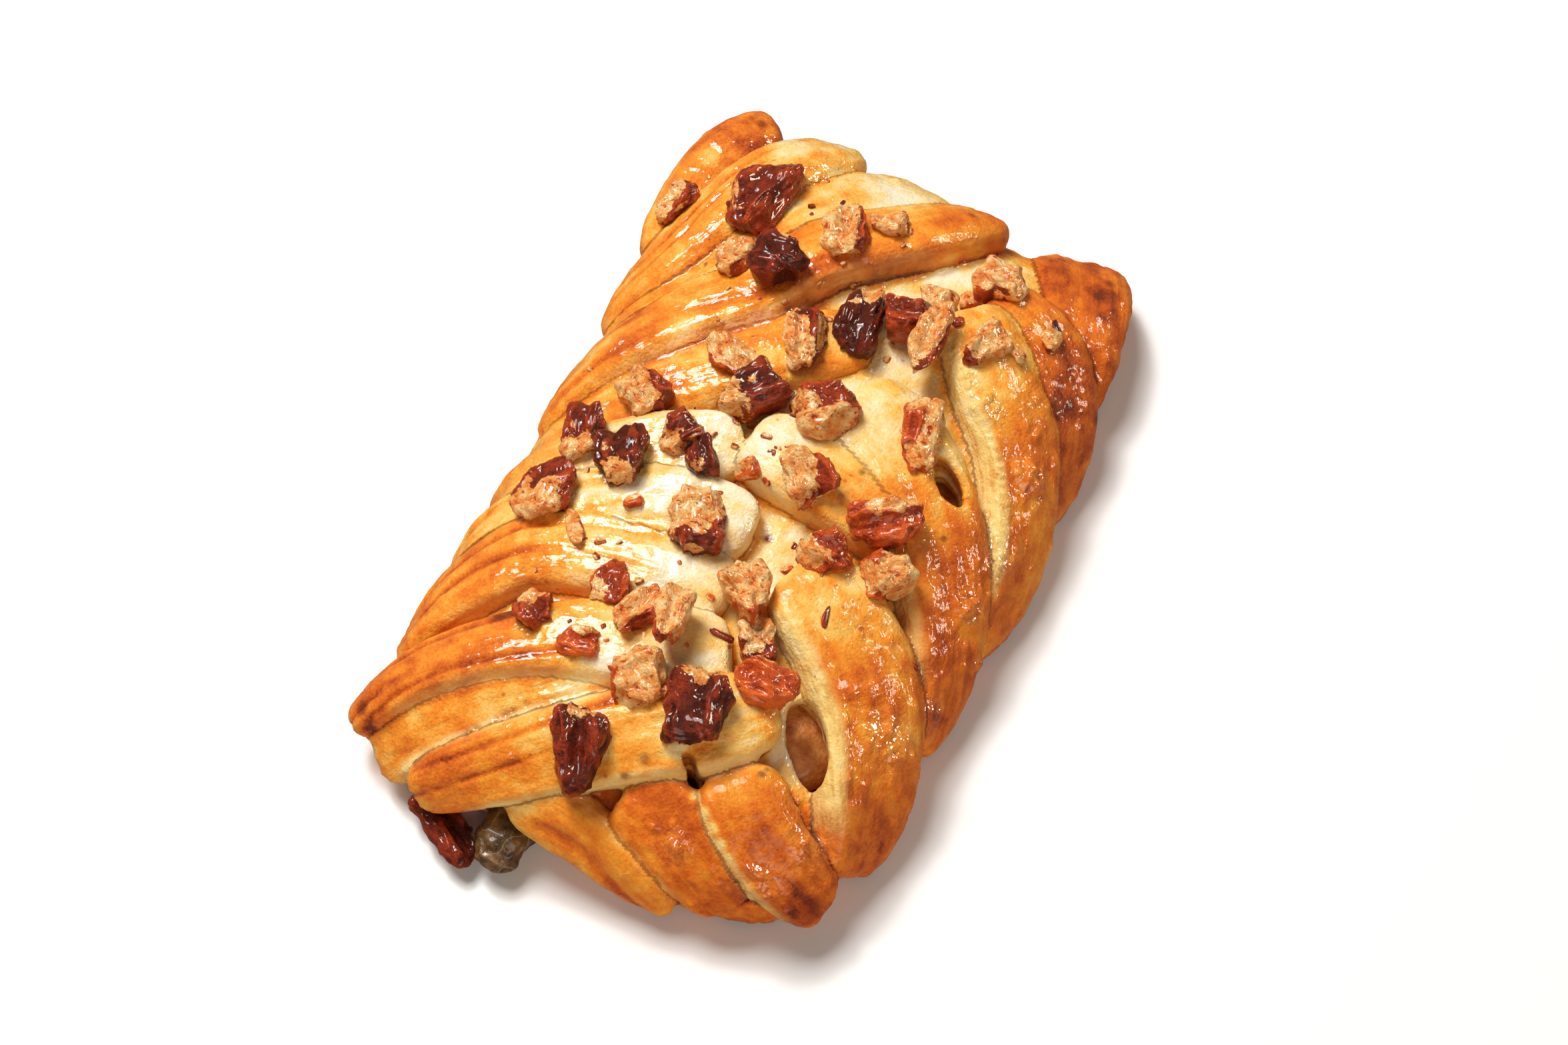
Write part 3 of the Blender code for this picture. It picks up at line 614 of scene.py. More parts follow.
# Where small bubbles crowd together in the glaze: pixel of the photograph, spread, how many.
BUBBLE_CROWDS = [(1542, 722, 2.6, 46), (1456, 915, 2.6, 34), (1466, 1000, 1.4, 8), (1335, 1110, 4.2, 50),
                 (1400, 1070, 2.5, 16), (1475, 610, 3.0, 22), (1130, 1330, 3.6, 26), (1010, 1270, 3.0, 20),
                 (1215, 1265, 3.2, 22), (1500, 840, 3.0, 16)]
CROWD_SIZE, CROWD_HEIGHT = (0.8, 1.4), 0.20
CROWD_GLAZE = 1.5  # how far the thick glaze reaches round a crowd, as a share of its spread
GLOSS, GLOSS_EDGE = (0.55, 0.16), (-12, 10)  # how thick it lies elsewhere, left and right, and the change
# How much wider than their radius holes and specks spread, how dark the painted shade in holes is, and the
# even share of a mark's radius, for specks and glaze and for patches.
HOLE_SPREAD, SPECK_SPREAD, HOLE_PAINTED_SHADE, MARK_CORE, PATCH_CORE = 1.6, 1.5, 0.35, 0.3, 0.2
# Paler and browner places of the crust, some of the paler ones painted highlights: pixel of the photograph,
# radius, and what it adds to the baking.
BAKE_AND_HIGHLIGHT_PATCHES = [(1345, 305, 9.0, -0.26), (1185, 222, 5.0, -0.26), (1270, 215, 4.0, -0.14), (1075, 300, 4.0, 0.12),
           (1130, 262, 4.0, -0.22), (1015, 475, 5.0, -0.20), (1100, 460, 5.0, -0.16), (1150, 530, 6.0, -0.08),
           (1490, 325, 5.5, 0.28), (1250, 610, 6.0, -0.22), (1395, 640, 6.0, 0.14), (960, 740, 7.0, -0.20),
           (1000, 880, 6.0, -0.16), (905, 985, 5.0, -0.22), (1010, 1115, 4.0, -0.24),
           (1120, 1120, 4.0, -0.10),
           (870, 860, 5.0, -0.10), (1120, 880, 6.0, -0.18), (1230, 830, 4.0, -0.12), (1290, 1030, 4.0, 0.05),
           (1085, 1065, 5.0, -0.16), (1450, 560, 6.0, -0.08), (1360, 470, 6.0, -0.26),
           (1420, 420, 5.0, -0.16),
           (870, 1040, 5.5, -0.25), (815, 940, 5.0, -0.22), (1130, 225, 3.5, 0.16), (1062, 235, 3.0, -0.20),
           (1690, 405, 2.6, -0.16), (1700, 470, 2.6, -0.14), (1650, 372, 2.6, -0.16), (1590, 620, 4.0, 0.10),
           (1043, 1195, 1.3, -0.5), (1056, 1218, 1.4, -0.5), (1069, 1242, 1.4, -0.5), (1081, 1266, 1.3, -0.5),
           (1091, 1286, 1.1, -0.4)]


def raw_dough():
    """Every strip and the loaf as one mesh of closed forms that run through each other, and their fields."""
    points, faces, fields = [], [], []
    count = 0
    forms = [strip_form(name, index) for index, name in enumerate(STRIPS)] + [loaf_form()]
    for form, rings, turns, field in forms:
        points.append(form)
        fields.append(field)
        faces += ring_faces(rings, turns, count)
        count += len(form)
    return new_mesh_object("dough_fine", np.concatenate(points), faces), np.concatenate(fields)


def carry_fields(points, source, polygons, fields):
    """For each point, the fields of the nearest place on the strips, and how far off that is."""
    tree = BVHTree.FromPolygons(source.tolist(), polygons)
    nearest = [tree.find_nearest(p) for p in points.tolist()]
    place = np.array([n[0] for n in nearest])
    away = np.array([n[3] for n in nearest])
    corners = np.array([(polygons[n[2]] * 2)[:4] for n in nearest])
    offset = source[corners] - place[:, None, :]
    weight = 1 / (np.einsum("ijk,ijk->ij", offset, offset) + NEAREST_SOFTENING)
    weight /= weight.sum(1, keepdims=True)
    return np.einsum("ij,ijk->ik", weight, fields[corners]), away


def grain_of(field):
    """A place in the layered dough: along, across and up its strip, with every strip set far apart."""
    side, rise = (field[:, k] + field[:, STRIP] * apart for k, apart in zip((SIDE, RISE), STRIPS_APART))
    return np.stack([field[:, ALONG], side, rise], axis=1)


def strip_of(field):
    """The number of the strip that each point belongs to; the loaf has the last one."""
    return np.rint(field[:, STRIP]).astype(int)


def bake_of(field, points):
    """How brown the crust is, by its place along its strip."""
    table = np.array([look[:3] for look in LOOKS.values()] + [(0,) * 3])
    rim, middle, end = (table[strip_of(field), k] for k in range(3))
    share = field[:, SHARE]
    bake = np.where(share < 0.5, rim + (middle - rim) * smooth(share, *RIM_SHARES),
                    middle + (end - middle) * smooth(share, *END_SHARES))
    loaf = LOAF_BAKE[0] + (LOAF_BAKE[1] - LOAF_BAKE[0]) * smooth(-points[:, 2], *LOAF_DEPTHS)
    bottom = BOTTOM_BAKE * (1 - smooth(points[:, 2], *BOTTOM_EDGE))
    return np.where(strip_of(field) == len(STRIPS), loaf, bake) + bottom


def pleats_of(field):
    """1 in the narrow valleys that run along a strip, and 0 between them."""
    amount = np.array([PLEATED.get(name, PLEATED["others"]) for name in STRIPS] + [0.0])[strip_of(field)]
    along, side, seed = field[:, ALONG], field[:, SIDE], strip_of(field) * 9.7
    wander = PLEAT_WANDER * value_noise(np.stack([along / PLEAT_WANDER_RUN, seed, seed], axis=1), 91)
    wave = value_noise(np.stack([side / PLEAT_SPACING + wander + seed, along / PLEAT_RUN, seed], axis=1), 93)
    amount = amount * (1 - PLEAT_FADED * smooth(field[:, SHARE], *PLEAT_FADE))
    patches = value_noise(np.stack([along / PLEAT_PATCH[0], seed, side / PLEAT_PATCH[1]], axis=1), 95)
    amount = amount * smooth(patches, *PLEAT_PATCH_LEVEL)
    return amount * np.exp(-((wave / PLEAT_VALLEY) ** 2))


def cut_of(field):
    """How much each point lies on a pale layered cut: on a strip's side or at its end."""
    table = np.array([look[3:] for look in LOOKS.values()] + [(0.0,) * 3])
    left, right, end = (table[strip_of(field), k] for k in range(3))
    out, up, share = field[:, OUT], field[:, UP], field[:, SHARE]
    wide = np.where(out > 0, left, right)
    ragged = CUT_RAGGED * layered_noise(grain_of(field) * (0.35, 0.5, 0.5), 97, 2)
    low = CUT_BEGINS - CUT_WIDER * wide + ragged
    on_side = wide * smooth(np.abs(out), low, low + CUT_SOFT) * smooth(up, *CUT_UP)
    on_side = on_side * smooth(share, *CUT_ALONG)
    on_end = end * smooth(share, *CUT_END)
    return np.clip(np.maximum(on_side, on_end), 0, 1)


def teeth_of(field):
    """The notches of the toothed edge, from -1 to 1, and 0 elsewhere."""
    amount, cells, seed = TOOTH_UNEVEN
    beat = field[:, ALONG] / TOOTH + amount * value_noise(grain_of(field) * cells, seed)
    out = field[:, OUT]
    teeth = np.sin(2 * math.pi * beat) * np.exp(-(((np.abs(out) - TOOTH_PLACE) / TOOTH_WIDTH) ** 2))
    return teeth * (strip_of(field) == TOOTHED) * (out > 0) * (field[:, UP] > 0)


def relief(points, field, cut, pleats):
    """How far each point of the crust stands out: wrinkles, pleats, flakes in steps, and fine unevenness."""
    grain = grain_of(field)
    long_wrinkles, cross_wrinkles = (layered_noise(grain * cells, seed)
                                     for cells, seed in (LONG_WRINKLES, CROSS_WRINKLES))
    flake = layered_noise(grain * FLAKES[0] + FLAKE_OFFSET, FLAKES[1])
    first, second, sunk = FLAKE_STEPS
    steps = smooth(flake, *first) + smooth(flake, *second) - smooth(-flake, *sunk)
    grit = layered_noise(points * GRIT[0], GRIT[1])
    drift = LAYER_SWAY * value_noise(grain * LAYER_DRIFT[0], LAYER_DRIFT[1])
    layers = np.sin(grain[:, 2] * LAYER_PITCH + drift)
    right = smooth(points[:, 0], *RIGHT_SIDE)
    cross_height, layer_height = (low + more * right for low, more in (CROSS_HEIGHT, LAYER_HEIGHT))
    crust = (LONG_HEIGHT * long_wrinkles + cross_height * cross_wrinkles + FLAKE_HEIGHT * steps
             + GRIT_HEIGHT * grit - PLEAT_DEPTH * pleats)
    layered = layer_height * layers + CUT_GRIT_HEIGHT * grit + CUT_LONG_HEIGHT * long_wrinkles
    return crust * (1 - cut) + layered * cut + TOOTH_HEIGHT * teeth_of(field)


def near(tree, spots):
    """The points near each spot (place, radius, amount), with their share of the radius and the amount."""
    for place, radius, amount in spots:
        if place is not None:
            for _, i, distance in tree.find_range(place, radius):
                yield i, distance / radius, amount


def add_bumps(count, tree, bumps):
    """How far each point is raised (or, by a negative height, pressed in) by round bumps."""
    lift = np.zeros(count)
    for i, out, height in near(tree, bumps):
        lift[i] += height * (1 - out**2) ** 2
    return lift


def marks(count, tree, spots, core):
    """Soft round marks: the strongest at each point, even up to the share core and fading to its edge."""
    total = np.zeros(count)
    for i, out, strength in near(tree, spots):
        share = strength * (1 - float(smooth(out, core, 1.0)))
        total[i] = share if abs(share) > abs(total[i]) else total[i]
    return total


def bumps_on(points, on_top, shown):
    """Blisters scattered on the crust, bubbles in the glaze and holes in the cut: (place, radius, height)."""
    rng = np.random.default_rng(DOUGH_SEED)
    bumps = []
    chance = BLISTER_LEFT + smooth(points[on_top, 0], *BLISTER_RIGHT)
    for i in rng.choice(on_top, BLISTERS, replace=False, p=chance / chance.sum()):
        radius = rng.uniform(*BLISTER_SIZE)
        bumps.append((points[i], radius, BLISTER_HEIGHT * radius * rng.uniform(*BLISTER_VARIES)))
    for x, y, spread, count in BUBBLE_CROWDS:
        for away_x, away_y in rng.normal(0, spread * PIXELS_PER_MM / 2, (count, 2)):
            radius = rng.uniform(*CROWD_SIZE)
            bumps.append((shown(x + away_x, y + away_y), radius, CROWD_HEIGHT * radius))
    bumps += [(shown(x, y), r, height) for x, y, r, height in BUBBLES]
    return bumps + [(shown(x, y), r * HOLE_SPREAD, -depth) for x, y, r, depth in HOLES]


def joined_dough():
    """The dough as one skin with its hollow and openings, its points, and the forms it was joined from."""
    dough, fields = raw_dough()
    source, polygons = points_of(dough), polygons_of(dough)
    with_modifier(dough, "REMESH", mode="VOXEL", voxel_size=VOXEL * MM)
    hollow_points, rings, turns = filling_form(HOLLOW_GAP)
    hollow = new_mesh_object("hollow", hollow_points, ring_faces(rings, turns, 0))
    cut_away(dough, [hollow] + [opening_cutter(spec) for spec in OPENINGS])
    with_modifier(dough, "REMESH", mode="VOXEL", voxel_size=VOXEL * MM)
    points = relaxed(points_of(dough), edges_of(dough), ROUNDING)
    set_points(dough, points)
    return dough, points, (source, polygons, fields)


def point_tree(points):
    tree = KDTree(len(points))
    for i, p in enumerate(points):
        tree.insert(p, i)
    tree.balance()
    return tree


def make_dough():
    dough, points, forms = joined_dough()
    field, away = carry_fields(points, *forms)
    inner = smooth(away, *INNER_AWAY)
    edges, normals = edges_of(dough), normals_of(dough)
    cut = relaxed(cut_of(field), edges, CUT_ROUNDS)
    pleats = relaxed(pleats_of(field) * (1 - inner), edges, PLEAT_ROUNDS)
    flat = relaxed(points, edges, CREASE_ROUNDS)
    crease = relaxed(np.einsum("ij,ij->i", flat - points, normals), edges, CUT_ROUNDS)
    tree, skin, count = point_tree(points), tree_of(dough), len(points)

    def shown(px, py):
        hit, _ = seen_at(skin, px, py)
        return None if hit is None else hit / MM - SHIFT

    top = (normals[:, 2] > BLISTER_STEEP) & (inner < BLISTER_INNER) & (cut < BLISTER_CUT)
    lift = relief(points, field, cut, pleats) * (1 - INNER_SMOOTH * inner)
    lift += add_bumps(count, tree, bumps_on(points, np.flatnonzero(top), shown))

    dark = [(shown(x, y), r * SPECK_SPREAD, strength) for x, y, r, strength in SPECKS]
    # The holes get painted shade in the specks' colour.
    dark += [(shown(x, y), r * HOLE_SPREAD, HOLE_PAINTED_SHADE) for x, y, r, _ in HOLES]
    thick = [(shown(x, y), CROWD_GLAZE * spread, 1.0) for x, y, spread, _ in BUBBLE_CROWDS]
    thin = GLOSS[0] + (GLOSS[1] - GLOSS[0]) * smooth(points[:, 0], *GLOSS_EDGE)
    # Some of the paler patches are painted highlights.
    patches = [(shown(x, y), r, change) for x, y, r, change in BAKE_AND_HIGHLIGHT_PATCHES]

    points = points + normals * lift[:, None]
    points[:, 2] = np.maximum(points[:, 2], 0)
    set_points(dough, points)
    store(dough, bake=bake_of(field, points) + marks(count, tree, patches, PATCH_CORE), pleat=pleats,
          wet=np.maximum(marks(count, tree, thick, MARK_CORE), thin), cut=cut, inner=inner, crease=crease,
          speck=marks(count, tree, dark, MARK_CORE), grain=grain_of(field), place=points)
    dough.data.shade_smooth()
    return dough


# ---- the filling

# The roll's mouth begins this far from the middle towards the near end. Two kinds of lumps have cells to a
# millimetre, a seed and a height; the first are higher at the mouth, and the whole is drawn in a little.
MOUTH_BEGINS, MOUTH_LUMPS, DRAWN_IN = (50, 56), 0.5, 0.15
ROLL_LUMPS, FINE_LUMPS = (0.35, 81, 0.35), (1.1, 83, 0.2)
ROLL_TURNS, ROLL_RINGS = 96, 220


def make_filling():
    points, rings, turns = filling_form(0.0, ROLL_TURNS, ROLL_RINGS)
    filling = new_mesh_object("filling_fine", points, ring_faces(rings, turns, 0))
    normals = normals_of(filling)
    mouth = smooth(-points[:, 1], *MOUTH_BEGINS)
    large, fine = (layered_noise(points * cells, seed) for cells, seed, _ in (ROLL_LUMPS, FINE_LUMPS))
    lumps = large * (ROLL_LUMPS[2] + MOUTH_LUMPS * mouth) + fine * FINE_LUMPS[2] - DRAWN_IN
    set_points(filling, points + normals * lumps[:, None])
    store(filling, place=points, mouth=mouth)
    filling.data.shade_smooth()
    return filling


# ---- the pecan pieces

PECAN_HEIGHT, PECAN_SWELL, PECAN_UNDERSIDE, PECAN_ROUND = 0.72, 1.08, 0.4, 0.74
PECAN_LOBE, PECAN_RIPPLE, PECAN_GROOVE = 0.07, 0.05, (0.42, 0.24)
PECAN_BREAKS, PECAN_BREAK_DEPTH, BREAK_TURN, BREAK_TILT = 3, (0.88, 0.12), 2.2, 0.35
PHASE_STEP, PECAN_FOOT = 2.4, 0.4
PECAN_DETAIL, CRUMB_DETAIL = 5, 3  # times an icosphere is divided
# Noise of a piece: cells to a millimetre, how far apart pieces lie in it, the first seed, how many layers.
PATCH_NOISE, RIDGE_NOISE = (0.45, 9.1, 101, 2), ((0.22, 0.62, 0.5), 3.7, 131, 4)
LUMP_NOISE, FLESH_CELLS, FLESH_SEED, FLESH_LAYERS = (0.42, 5.3, 171, 2), (0.45, 1.0, 0.8), 151, 4
RIDGE_SHARPNESS, DEEP_LEVELS, GROOVE_DEEP = 2.2, (-0.9, -0.2), 0.5
# Levels between which skin turns to pale kernel, how they fall with the piece's pale share, and between which
# pale shares its breaks turn pale as well.
SKIN_LEVEL, KERNEL_LEVEL, KERNEL_FALL, PALE_BREAKS = 0.9, 1.06, 1.9, (0.1, 0.4)
FACE_RISE, FACE_RAGGED = 0.45, 0.45  # how far the pale face looks upwards, and how ragged its edge is
# Heights of the relief in millimetres: the skin's ridges and groove, the kernel's grain, and lumps, which are
# higher on paler pieces. Pieces less wide than RELIEF_WIDTH have lower relief.
RIDGE_HEIGHT, RIDGE_LEVEL, GROOVE_DEPTH, FLESH_HEIGHT, FLESH_SUNK = 0.80, 0.7, 0.30, 0.70, 0.30
LUMP_HEIGHT, RELIEF_WIDTH = (0.6, 1.1), 6.0
BOX_FIT = 0.5  # how far a piece that is larger than its solid is brought down to the solid's size
PLACE_STEP = 23.0  # how far apart the pieces' colours are taken from the noise
# How a piece is let down: the share of its foot that sinks in, the furthest it goes down, how far its foot
# then swells out, how far under another piece it may reach, and how near a piece is to count as a carrier.
SINK_SHARE, MOST_SINK, FOOT_SWELL, OVERHANG, CARRIER_REACH = 0.35, 0.8, 2.6, 2.0, 18.0

# Each piece: middle (x, y), length, width, turn of the length from X in degrees; then its looks: how dark the
# skin is, how much of the piece is pale broken kernel, and which way the broken face looks.
PECANS = [
    (-36.8, 40.0, 9, 5.5, 75, 0.45, 0.42, 190),
    (-23.4, 42.5, 14, 9, 80, 0.50, 0.06, 200),
    (-22.2, 31.1, 7, 6, 45, 0.30, 0.92, 100),
    (-14.7, 31.1, 8.5, 8, 0, 0.72, 0.06, 60),
    (-8.2, 41.0, 11, 7, 110, 0.36, 0.58, 200),
    (-2.9, 46.0, 5.5, 4.5, 30, 0.35, 0.75, 240),
    (-12.6, 13.9, 10.5, 5.5, 165, 0.22, 0.66, 110),
    (-7.5, 9.2, 11.5, 7.5, 50, 0.66, 0.22, 245),
    (-5.5, 21.7, 11, 7, 115, 0.60, 0.40, 235),
    (1.0, 28.6, 13, 7, 100, 0.88, 0.10, 110),
    (6.5, 31.7, 7, 6.5, 20, 0.42, 0.05, 120),
    (9.4, 37.3, 7, 5, 160, 0.25, 0.95, 100),
    (12.0, 28.3, 13, 5, 95, 0.45, 0.66, 140),
    (20.0, 32.7, 9, 6, 75, 0.40, 0.72, 60),
    (15.9, 45.7, 8, 6, 0, 0.35, 0.95, 100),
    (18.1, 14.4, 13, 7, 110, 0.22, 0.40, 10),
    (4.0, 10.6, 10.3, 9, 45, 0.34, 0.30, 290),
    (-22.8, 3.2, 9, 7, 160, 0.42, 0.62, 225),
    (-27.4, -6.2, 10, 7, 105, 0.56, 0.20, 285),
    (-27.4, -17.2, 11, 8, 80, 0.50, 0.30, 275),
    (-19.5, -8.9, 9, 7.5, 120, 0.72, 0.14, 290),
    (-13.0, -1.8, 7.5, 6.5, 60, 0.55, 0.24, 260),
    (-8.0, -4.6, 6, 4.5, 130, 0.70, 0.12, 270),
    (-4.0, -13.9, 10.5, 8.5, 120, 0.55, 0.56, 125),
    (-10.4, -28.0, 7.5, 6, 100, 0.30, 0.18, 250),
    (-4.5, -30.3, 9, 6, 70, 0.32, 0.66, 150),
    (0.8, -29.9, 10, 4.5, 105, 0.30, 0.80, 90),
    (-18.1, -36.3, 7, 6.5, 150, 0.40, 0.22, 117),
    (-9.7, -38.5, 6, 4.5, 20, 0.14, 0.10, 100),
    (0.3, -40.0, 9, 7.5, 120, 0.30, 0.68, 20),
    (-2.4, -52.0, 12, 8, 295, 0.66, 0.04, 110),
    (9.9, -40.4, 11.2, 9.2, 105, 0.74, 0.04, 110),
    (16.2, -32.6, 9, 6.5, 15, 0.10, 0.05, 100),
    (11.9, -26.1, 8, 6, 110, 0.60, 0.48, 115),
    (7.0, -20.3, 8.5, 7.2, 150, 0.22, 0.86, 110),
    (14.1, -10.0, 8, 6.5, 10, 0.28, 0.28, 230),
    (23.2, -8.8, 8, 7, 60, 0.22, 0.50, 15),
    (20.0, -1.8, 11, 7.5, 40, 0.16, 0.20, 110),
    (7.0, -1.3, 9, 7.5, 140, 0.34, 0.44, 200),
    (-18.5, -61.0, 13, 6.5, 152, 0.72, 0.08, 60),
]
END_PECAN_LEAN = 25

# Crumbs too small to be solids: pixel of the photograph, length, width, turn in the picture in degrees,
# how dark the skin is and how much is pale kernel.
CRUMBS = [
    (1574, 511, 4.0, 3.2, 20, 0.50, 0.75), (1584, 493, 2.4, 1.2, 100, 1.0, 0.0),
    (1509, 335, 4.2, 2.4, -35, 0.18, 0.0), (861, 790, 9.0, 2.8, 105, 0.20, 0.70),
    (951, 755, 2.8, 2.2, 0, 0.14, 0.35), (1123, 703, 4.2, 3.0, 20, 0.16, 0.45),
    (1239, 927, 3.2, 0.9, 80, 0.45, 0.0), (1083, 954, 3.6, 1.1, -15, 0.60, 0.0),
    (1436, 484, 2.2, 1.8, 40, 0.40, 0.2), (1456, 452, 4.2, 3.2, 10, 0.25, 0.8),
    (1490, 486, 2.2, 1.8, 60, 0.35, 0.6), (1523, 534, 3.2, 2.6, 100, 0.25, 0.8),
    (1424, 462, 2.6, 1.8, 30, 0.30, 0.7), (1372, 1001, 1.4, 1.0, 0, 0.50, 0.0),
    (900, 812, 1.6, 1.2, 0, 0.20, 0.4), (1128, 640, 1.6, 1.2, 0, 0.25, 0.5),
    (1180, 855, 1.8, 1.2, 30, 0.30, 0.5), (1150, 655, 2.0, 1.2, -30, 0.20, 0.4),
    (1210, 632, 1.6, 1.2, 60, 0.30, 0.5), (1330, 540, 1.6, 1.3, 60, 0.30, 0.5),
    (1046, 1005, 1.8, 1.4, 0, 0.25, 0.5), (1105, 880, 1.7, 1.3, 40, 0.22, 0.5),
]
CRUMB_SINK = 0.25  # how deep a crumb sits, as a share of its height
# The finest crumbs lie scattered along the middle: its two ends and half width in pixels, how many, their
# length, width to the length, how dark their skin is and how much is pale kernel.
CRUMB_LINE, CRUMB_SPREAD, FINE_CRUMBS, FINE_SIZE = ((1300, 300), (930, 1010)), 190, 90, (0.5, 1.3)
FINE_WIDTH, FINE_DARK, FINE_PALE = (0.5, 0.9), (0.1, 0.6), (0, 0.7)
CRUMB_SEED, CRUMB_PHASE, CRUMB_FACE, CRUMB_STEP = 5, 50, 90, 31.0


def unit_sphere(detail):
    """Directions and faces of an icosphere."""
    bm = bmesh.new()
    bmesh.ops.create_icosphere(bm, subdivisions=detail, radius=1.0)
    points, faces = taken_from(bm)
    return np.array([tuple(Vector(point).normalized()) for point in points]), faces


def broken_shape(d, phase):
    """A lobed, rounded lump of unit size with flat breaks, and how much each point lies on a break."""
    p = spow(d, PECAN_ROUND)
    lobes = PECAN_LOBE * np.sin(3 * np.arctan2(d[:, 1], d[:, 0]) + phase)
    p = p * (1 + lobes + PECAN_RIPPLE * np.sin(5 * d[:, 0] + phase))[:, None]
    broken = np.zeros(len(d))
    for k in range(PECAN_BREAKS):
        angle = phase + k * BREAK_TURN
        cut = np.array([math.cos(angle), math.sin(angle), BREAK_TILT * math.sin(3 * angle)])
        cut /= np.linalg.norm(cut)
        depth = PECAN_BREAK_DEPTH[0] + PECAN_BREAK_DEPTH[1] * math.sin(phase * 1.7 + k)
        over = np.maximum(0.0, p @ cut - depth)
        broken = np.maximum(broken, smooth(over, 0.02, 0.08))
        p = p - cut * over[:, None]
    return p, broken


def piece_noise(p, index, cells, apart, seed, octaves):
    """Layered noise that differs from piece to piece."""
    return layered_noise(p * cells + index * apart, seed + index, octaves)


def pale_share(d, p, index, cream, cream_turn, broken):
    """How much of the pale kernel shows at each point: on the face towards cream_turn and on breaks."""
    face = np.array([math.cos(math.radians(cream_turn)), math.sin(math.radians(cream_turn)), FACE_RISE])
    face /= np.linalg.norm(face)
    level = d @ face + FACE_RAGGED * piece_noise(p, index, *PATCH_NOISE)
    pale = smooth(level, SKIN_LEVEL - KERNEL_FALL * cream, KERNEL_LEVEL - KERNEL_FALL * cream)
    return np.maximum(pale, broken * smooth(cream, *PALE_BREAKS))


def pecan_shape(d, index, length, width, cream, cream_turn):
    """Points of one piece about its own middle, and how pale, how grooved each point is."""
    phase = index * PHASE_STEP
    p, broken = broken_shape(d, phase)
    top = d[:, 2] > 0
    line = np.exp(-((d[:, 1] / PECAN_GROOVE[1]) ** 2))
    p[:, 2] *= np.where(top, 1 - PECAN_GROOVE[0] * abs(math.cos(phase)) * line, PECAN_UNDERSIDE)
    size = np.array([length / 2, width / 2, width * PECAN_HEIGHT / 2]) * PECAN_SWELL
    p = p * size

    pale = pale_share(d, p, index, cream, cream_turn, broken)
    ridge = 1 - RIDGE_SHARPNESS * np.abs(piece_noise(p, index, *RIDGE_NOISE))
    lump = piece_noise(p, index, *LUMP_NOISE)
    flesh = FLESH_HEIGHT * layered_noise(p * FLESH_CELLS + index, FLESH_SEED, FLESH_LAYERS) - FLESH_SUNK
    skin = RIDGE_HEIGHT * (ridge - RIDGE_LEVEL) - GROOVE_DEPTH * line * top
    lift = skin * (1 - pale) + flesh * pale + (LUMP_HEIGHT[0] + LUMP_HEIGHT[1] * cream) * lump
    out = d / np.linalg.norm(d / size, axis=1)[:, None] / size
    out /= np.linalg.norm(out, axis=1)[:, None]
    deep = np.clip(smooth(-ridge, *DEEP_LEVELS) + GROOVE_DEEP * line * top, 0, 1)
    return p + out * (lift * min(1.0, width / RELIEF_WIDTH))[:, None], pale, deep


def axes_on(normal, ahead):
    """Axes of a piece: along its length as near ahead as they can be, across, and along the normal."""
    side = normal.cross(ahead).normalized()
    return Matrix((side.cross(normal), side, normal)).transposed()


def dough_frame(tree, x, y, length, turn):
    """Axes of a piece that lies on the solid dough."""
    normal = Vector((0, 0, 0))
    for k in range(6):
        around = Matrix.Rotation(k * math.pi / 3, 2) @ Vector((PECAN_FOOT * length, 0))
        start = (Vector((x + around.x, y + around.y, 2 * OPENING_TOP)) + SHIFT) * MM
        hit, face_normal, _, _ = tree.ray_cast(start, DOWN)
        if hit:
            normal += face_normal
    normal.normalize()
    return axes_on(normal, Vector((math.cos(math.radians(turn)), math.sin(math.radians(turn)), 0)))


def clearance(points, carriers):
    """How far each point stands above what lies under it. A carrier that it is well below doesn't count."""
    gaps = np.full(len(points), 2 * OPENING_TOP)
    for k, (x, y, z) in enumerate(points):
        start = (Vector((x, y, 2 * OPENING_TOP)) + SHIFT) * MM
        for tree in carriers:
            hit = tree.ray_cast(start, DOWN)[0]
            if hit:
                gap = z - (hit.z / MM - SHIFT.z)
                if -OVERHANG < gap < gaps[k]:
                    gaps[k] = gap
    return gaps


def let_down(shape, directions, carriers):
    """The piece let down on what carries it, with its foot swelled out to meet it."""
    under = directions[:, 2] < 0
    gaps = clearance(shape[under], carriers)
    sink = float(np.clip(np.quantile(gaps[directions[under, 2] < -0.5], SINK_SHARE), 0.0, MOST_SINK))
    foot = smooth(-directions[under, 2], 0.0, 0.6)
    shape[:, 2] -= sink
    shape[under, 2] -= foot * np.clip(gaps - sink, 0.0, FOOT_SWELL)
    return shape


def end_frame(turn):
    """Axes of the piece that leans at the near left end."""
    lean = Matrix.Rotation(math.radians(END_PECAN_LEAN), 3, "X")
    return Matrix.Rotation(math.radians(turn), 3, "Z") @ lean


def in_box(shape, low, high):
    """The shape moved to the middle of its solid's box, and brought nearer to its size where it is larger."""
    size = shape.max(0) - shape.min(0)
    fit = min(1.0, *((high - low)[k] / MM / size[k] for k in range(3)))
    centre = (shape.min(0) + shape.max(0)) / 2
    middle = (low + high) / 2 / MM
    return (shape - centre) * (1 - BOX_FIT + BOX_FIT * fit) + np.array(middle) - np.array(SHIFT), middle


